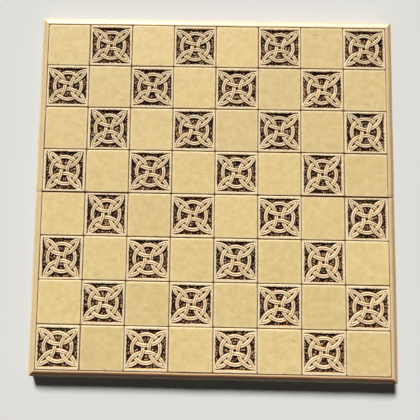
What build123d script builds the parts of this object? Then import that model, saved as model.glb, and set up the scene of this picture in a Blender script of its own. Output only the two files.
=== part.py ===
from build123d import *
import math
import os

# Chess board of cast stone in two halves, which fold at a seam so that their undersides meet.
# Millimetres. X runs along the seam to the right, Y runs away from the player and Z is up.
# The origin is on the table, under the middle of the board.

os.makedirs("parts", exist_ok=True)

# Squares and their tiles
square_pitch = 45.0
squares_per_side = 8
file_letters = "abcdefgh"
tile_joint = 0.6
tile_thickness = 6.5
tile_edge_radius = 0.9
tile_corner_radius = 0.5

# Hand laying: how far a tile may sit off its true place, and the turns in radians that spread it
laying_wander = 0.15
wander_turn_x = 1.9
wander_turn_y = 2.6

# Interlace in the pocket of a knot tile, both a little longer along X than along Y
pocket_end_margin = 2.1
pocket_side_margin = 2.65
pocket_depth = 2.2
band_width = 3.8
band_below_margin = 0.2
ring_radius = 14.3
waist_half = 3.25
tip_along = 18.5
tip_across = 16.8
channel_width = 0.9
channel_depth = 0.6
crossing_reach = 3.6

# Knot tiles laid a quarter turn round, so that their longer way runs along Y
turned_files = "abgh"
turned_ranks = range(2, 6)

# Cast halves
seam_gap = 0.8
floor_thickness = 7.0
seam_edge_ease = 1.0
bed_thickness = 1.0
bed_below_tiles = 1.3

# Moulded rim, from the tile field outwards
rim_below_tiles = 0.4
rim_inner_radius = 0.8
rim_flat = 1.0
rim_shoulder_radius = 4.2
rim_bevel_angle = math.radians(44)
rim_width = 8.4
rim_step = 1.6
rim_step_draft = 0.3
rim_ledge = 1.8
rim_ledge_radius = 0.6
rim_foot_ease = 0.8

# Butt hinges under the seam
hinge_spacing = 190.0
hinge_length = 32.0
leaf_width = 15.0
leaf_thickness = 1.2
leaf_corner_radius = 2.0
knuckle_count = 5
knuckle_gap = 0.3
pin_radius = 0.65
pin_clearance = 0.05
pin_head_radius = 1.2
pin_head_height = 0.6
pin_head_round = 0.3
barrel_lift = 0.2

# Countersunk screws of the hinge leaves
screws_per_leaf = 3
screw_spacing = 11.0
screw_row = 8.0
screw_stagger = 2.2
screw_radius = 1.0
screw_head_radius = 2.0
screw_clearance = 0.05
screw_length = 6.0
screw_point = 1.2
screw_point_radius = 0.3
screw_slot_width = 0.5
screw_slot_depth = 0.5

# Felt pads
pad_radius = 7.0
pad_edge_radius = 0.4
pad_pass_gap = 2.0
outer_pad_inset = 24.0
inner_pad_inset = 84.0
outer_pad_from_edge = 20.0
inner_pad_from_seam = 30.0

# Heights above the table
barrel_radius = pin_radius + pin_clearance + leaf_thickness
pad_thickness = 2 * barrel_radius + barrel_lift
underside = pad_thickness
pin_height = underside - barrel_radius
floor_top = underside + floor_thickness
tile_base = floor_top + bed_thickness
tile_top = tile_base + tile_thickness
bed_top = tile_top - bed_below_tiles
rim_top = tile_top - rim_below_tiles

# Plan sizes
tile_size = square_pitch - tile_joint
half_files = (squares_per_side - 1) / 2
ranks_per_half = squares_per_side // 2
files = range(squares_per_side)
near_ranks = range(ranks_per_half)
far_ranks = range(ranks_per_half, squares_per_side)
seam_face = seam_gap / 2
field_half_x = half_files * square_pitch + tile_size / 2
field_end_y = seam_face + (ranks_per_half - 1) * square_pitch + tile_size
wall_x = field_half_x + tile_joint
wall_y = field_end_y + tile_joint
bed_middle = (seam_face + wall_y) / 2
outer_x = wall_x + rim_width
outer_y = wall_y + rim_width

# Rim section: the shoulder turns from the flat into a straight bevel, and a step ends it above
# the ledge
shoulder_end = rim_flat + rim_shoulder_radius * math.sin(rim_bevel_angle)
shoulder_low = rim_top - rim_shoulder_radius * (1 - math.cos(rim_bevel_angle))
ledge_in = rim_width - rim_ledge
bevel_end = ledge_in - rim_step_draft
bevel_low = shoulder_low - (bevel_end - shoulder_end) * math.tan(rim_bevel_angle)
ledge_top = bevel_low - rim_step

# The knot: a ring, a far and a near arc and two side arcs. Each arc is centred outside the tile
# and bowed in to the waist, and a far and a side arc meet at a tip
pocket_half_x = tile_size / 2 - pocket_end_margin
pocket_half_y = tile_size / 2 - pocket_side_margin
band_height = pocket_depth - band_below_margin
far_rise = tip_across - waist_half
far_radius = (tip_along**2 + far_rise**2) / (2 * far_rise)
far_centre = waist_half + far_radius
side_rise = tip_along - waist_half
side_radius = (tip_across**2 + side_rise**2) / (2 * side_rise)
side_centre = waist_half + side_radius
knot_half_y = side_radius + band_width / 2

# A far and a side arc also cross near the waist, as far from the line of their centres as the tip
centres_apart = math.hypot(far_centre, side_centre)
slope_x = far_centre / centres_apart
slope_y = side_centre / centres_apart
tip_out = slope_x * tip_along + slope_y * tip_across - slope_x * side_centre
arcs_meet = (tip_along - 2 * tip_out * slope_x, tip_across - 2 * tip_out * slope_y)

# Where the ring crosses the far arc to the right, and the right arc to the far side
far_meet_y = (ring_radius**2 + far_centre**2 - far_radius**2) / (2 * far_centre)
far_meet_x = math.sqrt(ring_radius**2 - far_meet_y**2)
side_meet_x = (ring_radius**2 + side_centre**2 - side_radius**2) / (2 * side_centre)
side_meet_y = math.sqrt(ring_radius**2 - side_meet_x**2)

# Hinge layout along X, and the screws of a leaf
knuckle_length = (hinge_length - (knuckle_count - 1) * knuckle_gap) / knuckle_count
knuckle_pitch = knuckle_length + knuckle_gap
hinge_places = {"left": -hinge_spacing / 2, "right": hinge_spacing / 2}
pilot_depth = screw_length - leaf_thickness + screw_clearance
screw_places = [
    (
        (number - (screws_per_leaf - 1) / 2) * screw_spacing,
        screw_row + screw_stagger * (number % 2),
    )
    for number in range(screws_per_leaf)
]

# Pads keep one inset from the left edge and a longer one from the right, so that those of the
# turned half pass beside them when the board is folded
pad_step = 2 * pad_radius + pad_pass_gap
pad_places = [
    (-outer_x + outer_pad_inset, outer_y - outer_pad_from_edge),
    (outer_x - outer_pad_inset - pad_step, outer_y - outer_pad_from_edge),
    (-outer_x + inner_pad_inset, seam_face + inner_pad_from_seam),
    (outer_x - inner_pad_inset - pad_step, seam_face + inner_pad_from_seam),
]


def wander(file, rank, turn):
    """How far a tile was laid off its true place along one axis."""
    return laying_wander * math.sin(turn * (file + 1) * (rank + 2))


def tile_place(file, rank):
    """Middle of a tile's base; file 0 is the left column and rank 0 the nearest row."""
    side = 1 if rank >= ranks_per_half else -1
    rows_out = rank - ranks_per_half if side > 0 else ranks_per_half - 1 - rank
    x = (file - half_files) * square_pitch + wander(file, rank, wander_turn_x)
    y = side * (seam_face + tile_size / 2 + rows_out * square_pitch)
    return (x, y + wander(file, rank, wander_turn_y), tile_base)


def ring_strip(radius, width):
    """Flat ring whose centre line has the given radius."""
    with BuildSketch() as strip:
        Circle(radius + width / 2)
        Circle(radius - width / 2, mode=Mode.SUBTRACT)
    return strip.sketch


def over_patch(over_band, crossing):
    """The stretch of the upper band that hides the lower one at a crossing."""
    with BuildSketch() as patch:
        add(over_band)
        with Locations(crossing):
            Circle(crossing_reach, mode=Mode.INTERSECT)
    return patch.sketch


# Knot bands seen from above, clipped to the pocket and at the tips
ring_band = ring_strip(ring_radius, band_width)
far_arc_band = Location((0, far_centre)) * ring_strip(far_radius, band_width)
near_arc_band = Location((0, -far_centre)) * ring_strip(far_radius, band_width)
right_arc_band = Location((side_centre, 0)) * ring_strip(side_radius, band_width)

with BuildSketch() as bands:
    add(ring_band)
    with PolarLocations(0, 2):
        add(far_arc_band)
        add(right_arc_band)
    Rectangle(2 * pocket_half_x, 2 * knot_half_y, mode=Mode.INTERSECT)

# The middle channel of the far arc stops where the right arc and the ring pass over it
with BuildSketch() as far_arc_channel:
    with Locations((0, far_centre)):
        add(ring_strip(far_radius, channel_width))
    Rectangle(2 * tip_along, 2 * tip_across, mode=Mode.INTERSECT)
    add(over_patch(right_arc_band, arcs_meet), mode=Mode.SUBTRACT)
    add(over_patch(ring_band, (-far_meet_x, far_meet_y)), mode=Mode.SUBTRACT)

# That of the right arc stops where the near arc and the ring pass over it
with BuildSketch() as right_arc_channel:
    with Locations((side_centre, 0)):
        add(ring_strip(side_radius, channel_width))
    Rectangle(2 * tip_along, 2 * tip_across, mode=Mode.INTERSECT)
    add(over_patch(near_arc_band, (arcs_meet[0], -arcs_meet[1])), mode=Mode.SUBTRACT)
    add(over_patch(ring_band, (side_meet_x, side_meet_y)), mode=Mode.SUBTRACT)

# The middle channel of the ring stops where each arc passes over it
with BuildSketch() as ring_channel:
    add(ring_strip(ring_radius, channel_width))
    with PolarLocations(0, 2):
        add(over_patch(far_arc_band, (far_meet_x, far_meet_y)), mode=Mode.SUBTRACT)
        add(over_patch(right_arc_band, (side_meet_x, -side_meet_y)), mode=Mode.SUBTRACT)


def tile_blank():
    """Plain tile standing on its base, with rounded upper edges."""
    with BuildPart() as blank:
        Box(tile_size, tile_size, tile_thickness, align=(Align.CENTER, Align.CENTER, Align.MIN))
        fillet(blank.edges().filter_by(Axis.Z), tile_corner_radius)
        fillet(blank.faces().sort_by(Axis.Z)[-1].edges(), tile_edge_radius)
    return blank.part


plain_tile = tile_blank()

# Knot tile: a sunk pocket with the interlace standing in it
with BuildPart() as knot_tile:
    add(plain_tile)
    with BuildSketch(Plane.XY.offset(tile_thickness)):
        Rectangle(2 * pocket_half_x, 2 * pocket_half_y)
    extrude(amount=-pocket_depth, mode=Mode.SUBTRACT)
    with BuildSketch(Plane.XY.offset(tile_thickness - pocket_depth)):
        add(bands.sketch)
    extrude(amount=band_height)
    with BuildSketch(Plane.XY.offset(tile_thickness - band_below_margin)):
        add(ring_channel.sketch)
        with PolarLocations(0, 2):
            add(far_arc_channel.sketch)
            add(right_arc_channel.sketch)
    extrude(amount=-channel_depth, mode=Mode.SUBTRACT)

# Far half: slab floor with the moulded rim swept round three sides and mitred at the corners
with BuildPart() as far_tray:
    with BuildSketch(Plane((-wall_x, seam_face, 0), x_dir=(-1, 0, 0), z_dir=(0, 1, 0))):
        with BuildLine():
            Line((0, underside), (0, rim_top - rim_inner_radius))
            RadiusArc(
                (0, rim_top - rim_inner_radius), (rim_inner_radius, rim_top), rim_inner_radius
            )
            Line((rim_inner_radius, rim_top), (rim_flat, rim_top))
            RadiusArc((rim_flat, rim_top), (shoulder_end, shoulder_low), rim_shoulder_radius)
            ledge_out = rim_width - rim_ledge_radius
            Polyline(
                (shoulder_end, shoulder_low),
                (bevel_end, bevel_low),
                (ledge_in, ledge_top),
                (ledge_out, ledge_top),
            )
            RadiusArc(
                (ledge_out, ledge_top), (rim_width, ledge_top - rim_ledge_radius), rim_ledge_radius
            )
            Polyline(
                (rim_width, ledge_top - rim_ledge_radius),
                (rim_width, underside + rim_foot_ease),
                (rim_width - rim_foot_ease, underside),
                (0, underside),
            )
        make_face()
    with BuildLine() as rim_path:
        Polyline((-wall_x, seam_face), (-wall_x, wall_y), (wall_x, wall_y), (wall_x, seam_face))
    sweep(path=rim_path.wires()[0], transition=Transition.RIGHT)
    with Locations((0, seam_face, underside)):
        Box(2 * wall_x, wall_y - seam_face, floor_thickness, align=(Align.CENTER, Align.MIN, Align.MIN))
    chamfer(
        far_tray.edges().filter_by(Axis.X).group_by(Axis.Z)[0].sort_by(Axis.Y)[0], seam_edge_ease
    )
    for hinge_x in hinge_places.values():
        with Locations((hinge_x, 0, underside)):
            with Locations(*screw_places):
                Cylinder(
                    screw_radius + screw_clearance,
                    pilot_depth,
                    align=(Align.CENTER, Align.CENTER, Align.MIN),
                    mode=Mode.SUBTRACT,
                )
far_tray.part.label = "far_tray"
export_step(far_tray.part, "parts/far_tray.step")

# Near half: the same casting turned end for end
with BuildPart() as near_tray:
    add(far_tray.part, rotation=(0, 0, 180))
near_tray.part.label = "near_tray"
export_step(near_tray.part, "parts/near_tray.step")


def tile_bed(ranks, middle_y):
    """Bedding of one half, with a rib left standing in every joint between its tiles."""
    with BuildPart() as bed:
        with Locations((0, middle_y, floor_top)):
            Box(
                2 * wall_x,
                wall_y - seam_face,
                bed_top - floor_top,
                align=(Align.CENTER, Align.CENTER, Align.MIN),
            )
        with Locations(*[tile_place(file, rank) for rank in ranks for file in files]):
            Box(
                tile_size,
                tile_size,
                tile_thickness,
                align=(Align.CENTER, Align.CENTER, Align.MIN),
                mode=Mode.SUBTRACT,
            )
    return bed.part


# Bedding that holds the tiles and shows at the bottom of the joints
for bed_name, bed_ranks, middle_y in [
    ("far_tile_bed", far_ranks, bed_middle),
    ("near_tile_bed", near_ranks, -bed_middle),
]:
    bed = tile_bed(bed_ranks, middle_y)
    bed.label = bed_name
    export_step(bed, f"parts/{bed_name}.step")

# Knot tiles stand on the dark squares, each a piece by itself
for rank in range(squares_per_side):
    for file in files:
        if (file + rank) % 2 == 0:
            turned = file_letters[file] in turned_files and rank in turned_ranks
            with BuildPart() as laid_knot:
                with Locations(tile_place(file, rank)):
                    add(knot_tile.part, rotation=(0, 0, 90 if turned else 0))
            laid_knot.part.label = f"knot_tile_{file_letters[file]}{rank + 1}"
            export_step(laid_knot.part, f"parts/{laid_knot.part.label}.step")

# Plain tiles stand on the light squares, one group to a rank
for rank in range(squares_per_side):
    with BuildPart() as laid_plain:
        with Locations(*[tile_place(file, rank) for file in files if (file + rank) % 2 == 1]):
            add(plain_tile)
    laid_plain.part.label = f"plain_tiles_rank_{rank + 1}"
    export_step(laid_plain.part, f"parts/{laid_plain.part.label}.step")


def hinge_leaf(own_knuckles):
    """Leaf that reaches away from the player, about a pin on the X axis."""
    with BuildPart() as leaf:
        with Locations((0, 0, barrel_radius)):
            Box(
                hinge_length,
                leaf_width,
                leaf_thickness,
                align=(Align.CENTER, Align.MIN, Align.MAX),
            )
        outer_corners = leaf.edges().filter_by(Axis.Z).group_by(Axis.Y)[-1]
        fillet(outer_corners, leaf_corner_radius)
        for knuckle in range(knuckle_count):
            x = (knuckle - (knuckle_count - 1) / 2) * knuckle_pitch
            with Locations((x, 0, 0)):
                if knuckle in own_knuckles:
                    Cylinder(barrel_radius, knuckle_length, rotation=(0, 90, 0))
                else:
                    Box(
                        knuckle_length + 2 * knuckle_gap,
                        2 * (barrel_radius + knuckle_gap),
                        2 * (barrel_radius + knuckle_gap),
                        mode=Mode.SUBTRACT,
                    )
        Cylinder(
            pin_radius + pin_clearance, hinge_length, rotation=(0, 90, 0), mode=Mode.SUBTRACT
        )
        leaf_face = Plane((0, 0, barrel_radius - leaf_thickness), x_dir=(-1, 0, 0), z_dir=(0, 0, -1))
        with Locations(leaf_face):
            with Locations(*[(-x, y) for x, y in screw_places]):
                CounterSinkHole(
                    radius=screw_radius + screw_clearance,
                    counter_sink_radius=screw_head_radius,
                    depth=leaf_thickness,
                    counter_sink_angle=90,
                )
    return leaf.part


def leaf_screw():
    """Slotted countersunk screw with its head down, standing on the head's face."""
    head_height = screw_head_radius - screw_radius
    with BuildPart() as screw:
        Cone(
            screw_head_radius,
            screw_radius,
            head_height,
            align=(Align.CENTER, Align.CENTER, Align.MIN),
        )
        Cylinder(
            screw_radius,
            screw_length - screw_point,
            align=(Align.CENTER, Align.CENTER, Align.MIN),
        )
        with Locations((0, 0, screw_length - screw_point)):
            Cone(
                screw_radius,
                screw_point_radius,
                screw_point,
                align=(Align.CENTER, Align.CENTER, Align.MIN),
            )
        Box(
            2 * screw_head_radius,
            screw_slot_width,
            screw_slot_depth,
            align=(Align.CENTER, Align.CENTER, Align.MIN),
            mode=Mode.SUBTRACT,
        )
    return screw.part


# Hinges: the far leaf holds the end knuckles and the near leaf, turned round, those between
far_leaf = hinge_leaf(range(0, knuckle_count, 2))
near_leaf = hinge_leaf(range(1, knuckle_count, 2))
for hinge_name, hinge_x in hinge_places.items():
    with BuildPart() as laid_far_leaf:
        with Locations((hinge_x, 0, pin_height)):
            add(far_leaf)
    laid_far_leaf.part.label = f"{hinge_name}_hinge_far_leaf"
    export_step(laid_far_leaf.part, f"parts/{laid_far_leaf.part.label}.step")

    with BuildPart() as laid_near_leaf:
        with Locations((hinge_x, 0, pin_height)):
            add(near_leaf, rotation=(0, 0, 180))
    laid_near_leaf.part.label = f"{hinge_name}_hinge_near_leaf"
    export_step(laid_near_leaf.part, f"parts/{laid_near_leaf.part.label}.step")

    with BuildPart() as hinge_pin:
        with Locations((hinge_x, 0, pin_height)):
            Cylinder(pin_radius, hinge_length, rotation=(0, 90, 0))
        for end in (-1, 1):
            head_x = hinge_x + end * (hinge_length + pin_head_height) / 2
            with Locations((head_x, 0, pin_height)):
                Cylinder(pin_head_radius, pin_head_height, rotation=(0, 90, 0))
        rims = hinge_pin.edges().filter_by(GeomType.CIRCLE).sort_by(Axis.X)
        fillet([rims[0], rims[-1]], pin_head_round)
    hinge_pin.part.label = f"{hinge_name}_hinge_pin"
    export_step(hinge_pin.part, f"parts/{hinge_pin.part.label}.step")

# Screws, six to a half, up through the leaves into the cast floor
screw_base = underside - leaf_thickness
all_screws = [(hinge_x + x, y, screw_base) for hinge_x in hinge_places.values() for x, y in screw_places]
with BuildPart() as far_screws:
    with Locations(*all_screws):
        add(leaf_screw())
far_screws.part.label = "far_hinge_screws"
export_step(far_screws.part, "parts/far_hinge_screws.step")

with BuildPart() as near_screws:
    add(far_screws.part, rotation=(0, 0, 180))
near_screws.part.label = "near_hinge_screws"
export_step(near_screws.part, "parts/near_hinge_screws.step")

# Felt pads that the board stands on
with BuildPart() as far_pads:
    with Locations(*pad_places):
        Cylinder(pad_radius, pad_thickness, align=(Align.CENTER, Align.CENTER, Align.MIN))
    fillet(far_pads.faces().group_by(Axis.Z)[0].edges(), pad_edge_radius)
far_pads.part.label = "far_felt_pads"
export_step(far_pads.part, "parts/far_felt_pads.step")

with BuildPart() as near_pads:
    add(far_pads.part, rotation=(0, 0, 180))
near_pads.part.label = "near_felt_pads"
export_step(near_pads.part, "parts/near_felt_pads.step")
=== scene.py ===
"""Dresses a folding chess board of cast stone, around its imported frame.

The board is two cast halves with a moulded rim, laid with plain tiles and with tiles that carry a
sunk knot in relief. Brown bedding shows in the joints, brass hinges and felt pads lie underneath.
Lengths are in metres, X runs to the right, Y away from the player and Z up.
"""

import logging
import math
from dataclasses import dataclass, field
from enum import Enum
from itertools import product

import bpy
import numpy as np
from mathutils import Color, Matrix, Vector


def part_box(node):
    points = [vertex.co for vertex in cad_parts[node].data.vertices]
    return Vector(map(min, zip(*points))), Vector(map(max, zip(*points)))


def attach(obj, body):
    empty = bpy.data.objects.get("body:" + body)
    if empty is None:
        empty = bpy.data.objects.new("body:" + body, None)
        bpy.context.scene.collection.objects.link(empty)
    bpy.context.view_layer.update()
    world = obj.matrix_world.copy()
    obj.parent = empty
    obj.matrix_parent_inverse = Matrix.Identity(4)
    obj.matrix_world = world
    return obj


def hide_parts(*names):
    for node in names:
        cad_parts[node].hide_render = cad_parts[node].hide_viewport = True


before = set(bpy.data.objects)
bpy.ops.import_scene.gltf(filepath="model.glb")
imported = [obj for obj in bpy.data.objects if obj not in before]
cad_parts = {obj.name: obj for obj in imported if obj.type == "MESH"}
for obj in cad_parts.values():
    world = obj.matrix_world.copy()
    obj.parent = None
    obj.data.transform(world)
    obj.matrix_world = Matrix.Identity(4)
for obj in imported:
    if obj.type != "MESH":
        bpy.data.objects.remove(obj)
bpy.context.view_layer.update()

MM = 0.001
FILE_LETTERS = "abcdefgh"
SQUARES_PER_SIDE = len(FILE_LETTERS)

log = logging.getLogger("chess_board")

Colour = tuple[float, float, float, float]
Array = np.ndarray
Pair = tuple[Array, Array]
Triple = tuple[Array, Array, Array]
Generator = np.random.Generator
Material = bpy.types.Material
Node = bpy.types.Node
NodeTree = bpy.types.NodeTree
Socket = bpy.types.NodeSocket


def paint(red: float, green: float, blue: float) -> Colour:
    """Turns a display colour of 0 to 255 a channel into the linear colour that shaders take.

    Args:
        red: Red channel.
        green: Green channel.
        blue: Blue channel.

    Returns:
        Linear red, green, blue and a full alpha.
    """
    linear = Color((red / 255, green / 255, blue / 255)).from_srgb_to_scene_linear()
    return (*linear, 1.0)


class Body(Enum):
    """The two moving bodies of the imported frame."""

    NEAR = "near_half"
    FAR = "far_half"


class Slot(Enum):
    """Material slots of the record."""

    RIM = "cast_rim"
    PLAIN = "plain_tile"
    KNOT = "knot_tile"
    FELT = "felt"


class Value(Enum):
    """Values that the meshes carry for the finishes, one to a point."""

    # The stain value also carries painted shade, and the crest value a painted highlight.
    STAIN_AND_SHADE = "stain"
    CREST_AND_HIGHLIGHT = "crest"
    TONE = "tone"
    BATCH = "batch"


# Surfaces


@dataclass
class Shell:
    """A closed surface: its points, its faces and the values that its finish reads.

    Attributes:
        points: One row of x, y and z for each point.
        faces: Arrays of point numbers, one row for each face, counter-clockwise from outside.
        values: For each value, one number or one row of three numbers for each point.
    """

    points: Array
    faces: list[Array]
    values: dict[Value, Array] = field(default_factory=dict)

    def moved(self, x: float, y: float, z: float) -> "Shell":
        """Returns the shell shifted by x, y and z."""
        return Shell(self.points + np.array([x, y, z]), self.faces, self.values)

    def coated(
        self, stain: Array, crest: Array, rest: tuple[float, float], tone: float, batch: Array
    ) -> "Shell":
        """Gives the shell its values.

        Args:
            stain: Stain of the first points.
            crest: Crest of the first points.
            rest: Stain and crest of all further points.
            tone: Tone of the whole shell.
            batch: Place of its pattern.

        Returns:
            The same shell.
        """
        count = len(self.points)
        further = count - stain.size
        self.values = {
            Value.STAIN_AND_SHADE: np.append(stain, np.full(further, rest[0])),
            Value.CREST_AND_HIGHLIGHT: np.append(crest, np.full(further, rest[1])),
            Value.TONE: np.full(count, tone),
            Value.BATCH: np.tile(batch, (count, 1)),
        }
        return self


def make_piece(name: str, shells: list[Shell], sharp_degrees: float) -> bpy.types.Object:
    """Puts shells into one mesh object that stands at the origin.

    Args:
        name: Name of the piece.
        shells: Closed surfaces that carry the same values.
        sharp_degrees: Edges that turn by more than this stay sharp.

    Returns:
        The new object, linked to the scene.
    """
    starts = np.cumsum([0] + [len(shell.points) for shell in shells[:-1]])
    faces = []
    for start, shell in zip(starts, shells):
        for block in shell.faces:
            faces.extend((block + start).tolist())
    mesh = bpy.data.meshes.new(name)
    mesh.from_pydata(np.concatenate([shell.points for shell in shells]).tolist(), [], faces)
    for value in shells[0].values:
        data = np.concatenate([shell.values[value] for shell in shells]).astype(np.float32)
        kind, key = ("FLOAT", "value") if data.ndim == 1 else ("FLOAT_VECTOR", "vector")
        attribute = mesh.attributes.new(value.value, kind, "POINT")
        attribute.data.foreach_set(key, data.ravel())
    mesh.shade_smooth()
    mesh.set_sharp_from_angle(angle=math.radians(sharp_degrees))
    piece = bpy.data.objects.new(name, mesh)
    bpy.context.scene.collection.objects.link(piece)
    return piece


def add_piece(piece: bpy.types.Object, finish: Material, body: Body, node: str) -> None:
    """Gives a new piece its finish and its place in the frame.

    Args:
        piece: The new piece.
        finish: Its material.
        body: Body that it moves with.
        node: Node that it stands for.
    """
    piece.data.materials.append(finish)
    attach(piece, body.value)
    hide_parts(node)
    log.info("%s: %d faces", piece.name, len(piece.data.polygons))


def node_points(node: str) -> Array:
    """Places of the points of a node's mesh.

    Args:
        node: Name of the node.

    Returns:
        One row of x, y and z for each point.
    """
    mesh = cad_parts[node].data
    points = np.empty(3 * len(mesh.vertices), np.float32)
    mesh.vertices.foreach_get("co", points)
    return points.reshape(-1, 3).astype(float)


def grid_faces(x_lines: Array, y_lines: Array) -> Array:
    """Triangles of a grid, each square cut along the diagonal that points at the origin.

    A square where x and y have the same sign is cut from its low corner to its high one, and any
    other from its right low corner to its left high one, so mitres at the corners stay crisp.

    Args:
        x_lines: X of each column of points.
        y_lines: Y of each row of points.

    Returns:
        One row of three point numbers for each triangle, facing up.
    """
    columns, rows = len(x_lines), len(y_lines)
    column, row = np.meshgrid(np.arange(columns - 1), np.arange(rows - 1))
    first = (row * columns + column).ravel()
    right, above = first + 1, first + columns
    across = above + 1
    middle_x = (x_lines[1:] + x_lines[:-1])[column].ravel()
    middle_y = (y_lines[1:] + y_lines[:-1])[row].ravel()
    same = (middle_x * middle_y > 0)[:, None]
    lower = np.where(same, np.stack([first, right, across], 1), np.stack([first, right, above], 1))
    upper = np.where(same, np.stack([first, across, above], 1), np.stack([right, across, above], 1))
    return np.concatenate([lower, upper])


def outline_numbers(columns: int, rows: int) -> Array:
    """Point numbers round a grid's edge, counter-clockwise from its low corner.

    Args:
        columns: Points along X.
        rows: Points along Y.

    Returns:
        The numbers, each once.
    """
    low = np.arange(columns - 1)
    right = np.arange(rows - 1) * columns + columns - 1
    high = rows * columns - 1 - low
    left = np.arange(rows - 1, 0, -1) * columns
    return np.concatenate([low, right, high, left])


def slab(x: Array, y: Array, z: Array, faces: Array, skirt: list[tuple[float, float]]) -> Shell:
    """Closes a grid into a slab with a skirt and a flat underside.

    The grid's outline is carried down through the skirt's levels. At each level it is drawn in
    about its middle by the level's inset, and the last level is closed by one flat face.

    Args:
        x: X of the grid's points, one row for each line along X.
        y: Y of the grid's points.
        z: Height of the grid's points.
        faces: Triangles of the grid.
        skirt: Inset and height of each level, from the top down.

    Returns:
        The slab, without values.
    """
    top = np.stack([x.ravel(), y.ravel(), z.ravel()], 1)
    rows, columns = x.shape
    edge = outline_numbers(columns, rows)
    low, high = top[:, :2].min(0), top[:, :2].max(0)
    middle, half = (low + high) / 2, (high - low) / 2
    rings = []
    for inset, height in skirt:
        plan = middle + (top[edge, :2] - middle) * (half - inset) / half
        rings.append(np.column_stack([plan, np.full(len(edge), height)]))
    numbers = [edge] + [len(top) + level * len(edge) + np.arange(len(edge)) for level in range(len(skirt))]
    sides = [
        np.stack([upper, lower, np.roll(lower, -1), np.roll(upper, -1)], 1)
        for upper, lower in zip(numbers, numbers[1:])
    ]
    return Shell(np.concatenate([top, *rings]), [faces, *sides, numbers[-1][None, ::-1]])


def ring_faces(rows: int, columns: int, closed: bool = True) -> Array:
    """Squares of a surface whose every row is a ring.

    Args:
        rows: Rows of points.
        columns: Points in a row.
        closed: Whether the last row joins the first.

    Returns:
        One row of four point numbers for each square.
    """
    row, column = np.meshgrid(np.arange(rows - (not closed)), np.arange(columns), indexing="ij")
    next_row, next_column = (row + 1) % rows, (column + 1) % columns
    corners = [(row, column), (row, next_column), (next_row, next_column), (next_row, column)]
    return np.stack([(a * columns + b).ravel() for a, b in corners], 1)


def ripple(x: Array, y: Array, wave_length: float, rng: Generator) -> Array:
    """Smooth uneven field between -1 and 1.

    It is the sum of sine waves of about the given length that run in random directions, divided by
    the square root of their number and clipped.

    Args:
        x: X of the places asked for.
        y: Y of the places asked for.
        wave_length: Middle length of the waves.
        rng: Source of the directions, lengths and phases.

    Returns:
        The field at each place.
    """
    waves, shortest, longest = 8, 0.7, 1.5
    turn, phase = rng.uniform(0, math.tau, (2, waves))
    number = math.tau / (wave_length * rng.uniform(shortest, longest, waves))
    along = x[..., None] * np.cos(turn) + y[..., None] * np.sin(turn)
    return np.clip(np.sin(along * number + phase).sum(-1) / math.sqrt(waves), -1, 1)


def rounded_drop(distance: Array, radius: float) -> Array:
    """Height of a quarter-round edge: minus the radius at its face, a circle's arc, 0 inwards."""
    inner = np.clip(distance, 0, radius)
    return np.sqrt(radius**2 - (radius - inner) ** 2) - radius


def rounded_steps(radius: float, steps: int) -> Array:
    """Distances in from a face that cut a quarter-round edge into steps of equal turn."""
    return radius * (1 - np.cos(np.linspace(0, math.pi / 2, steps + 1)))


def smooth_step(low: float, high: float, value: Array) -> Array:
    """Runs from 0 at low to 1 at high along the cubic that is level at both ends."""
    share = np.clip((value - low) / (high - low), 0, 1)
    return share * share * (3 - 2 * share)


def rounded_plan(x: Array, y: Array, half_x: float, half_y: float, radius: float) -> Pair:
    """Rounds the corners of a rectangle's grid in plan.

    A point within one radius of a corner in both directions is drawn towards the corner's centre,
    so that squares about that centre become circles.

    Args:
        x: X of points about the rectangle's middle.
        y: Y of them.
        half_x: Half the rectangle's width.
        half_y: Half the rectangle's depth.
        radius: Radius of its corners.

    Returns:
        X and Y of the moved points.
    """
    reach_x = np.clip(np.abs(x) - (half_x - radius), 0, None)
    reach_y = np.clip(np.abs(y) - (half_y - radius), 0, None)
    length = np.hypot(reach_x, reach_y)
    scale = np.where(length > 0, np.maximum(reach_x, reach_y) / np.where(length > 0, length, 1), 1)
    return (
        x - np.sign(x) * reach_x * (1 - scale),
        y - np.sign(y) * reach_y * (1 - scale),
    )


def uneven_plan(
    x: Array, y: Array, half_x: float, half_y: float, amount: float,
    wave_length: float, rng: Generator,
) -> Pair:
    """Draws a rectangle's outline in unevenly, by nothing up to the given amount.

    Args:
        x: X of points about the rectangle's middle.
        y: Y of them.
        half_x: Half the rectangle's width.
        half_y: Half the rectangle's depth.
        amount: Largest inward shift of the outline.
        wave_length: Length of the waves along the outline.
        rng: Source of the waves.

    Returns:
        X and Y of the moved points.
    """
    draw_x = amount * (1 + ripple(x, y, wave_length, rng)) / 2
    draw_y = amount * (1 + ripple(x, y, wave_length, rng)) / 2
    return x * (1 - draw_x / half_x), y * (1 - draw_y / half_y)


def pebbles(x: Array, y: Array, reach: float, pitch: float, rng: Generator) -> Array:
    """Height, from 0 to 1, of a floor punched all over into grains.

    Each cell of a square lattice holds one grain, off its middle by chance and of a random size and
    height. A grain is a dome that falls with the square of the distance from its top, and the
    height at a place is that of the tallest grain of its own cell and the eight round it.

    Args:
        x: X of the places, within reach of 0.
        y: Y of the places.
        reach: Half the floor's width.
        pitch: Width of a cell.
        rng: Source of the grains.

    Returns:
        The height at each place.
    """
    shift, radii, heights = 0.32, (0.42, 0.72), (0.25, 1.0)
    cells = 2 * math.ceil(reach / pitch) + 4
    off_x, off_y = rng.uniform(-shift, shift, (2, cells, cells))
    radius = rng.uniform(*radii, (cells, cells))
    tall = rng.uniform(*heights, (cells, cells))
    u, v = x / pitch + cells / 2, y / pitch + cells / 2
    height = np.zeros_like(u)
    for step_x, step_y in product((-1, 0, 1), repeat=2):
        column = np.clip(np.floor(u).astype(int) + step_x, 0, cells - 1)
        row = np.clip(np.floor(v).astype(int) + step_y, 0, cells - 1)
        away_x = u - (column + 0.5 + off_x[row, column])
        away_y = v - (row + 0.5 + off_y[row, column])
        dome = tall[row, column] * (1 - (away_x**2 + away_y**2) / radius[row, column] ** 2)
        height = np.maximum(height, dome)
    return height


# Node trees


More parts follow.
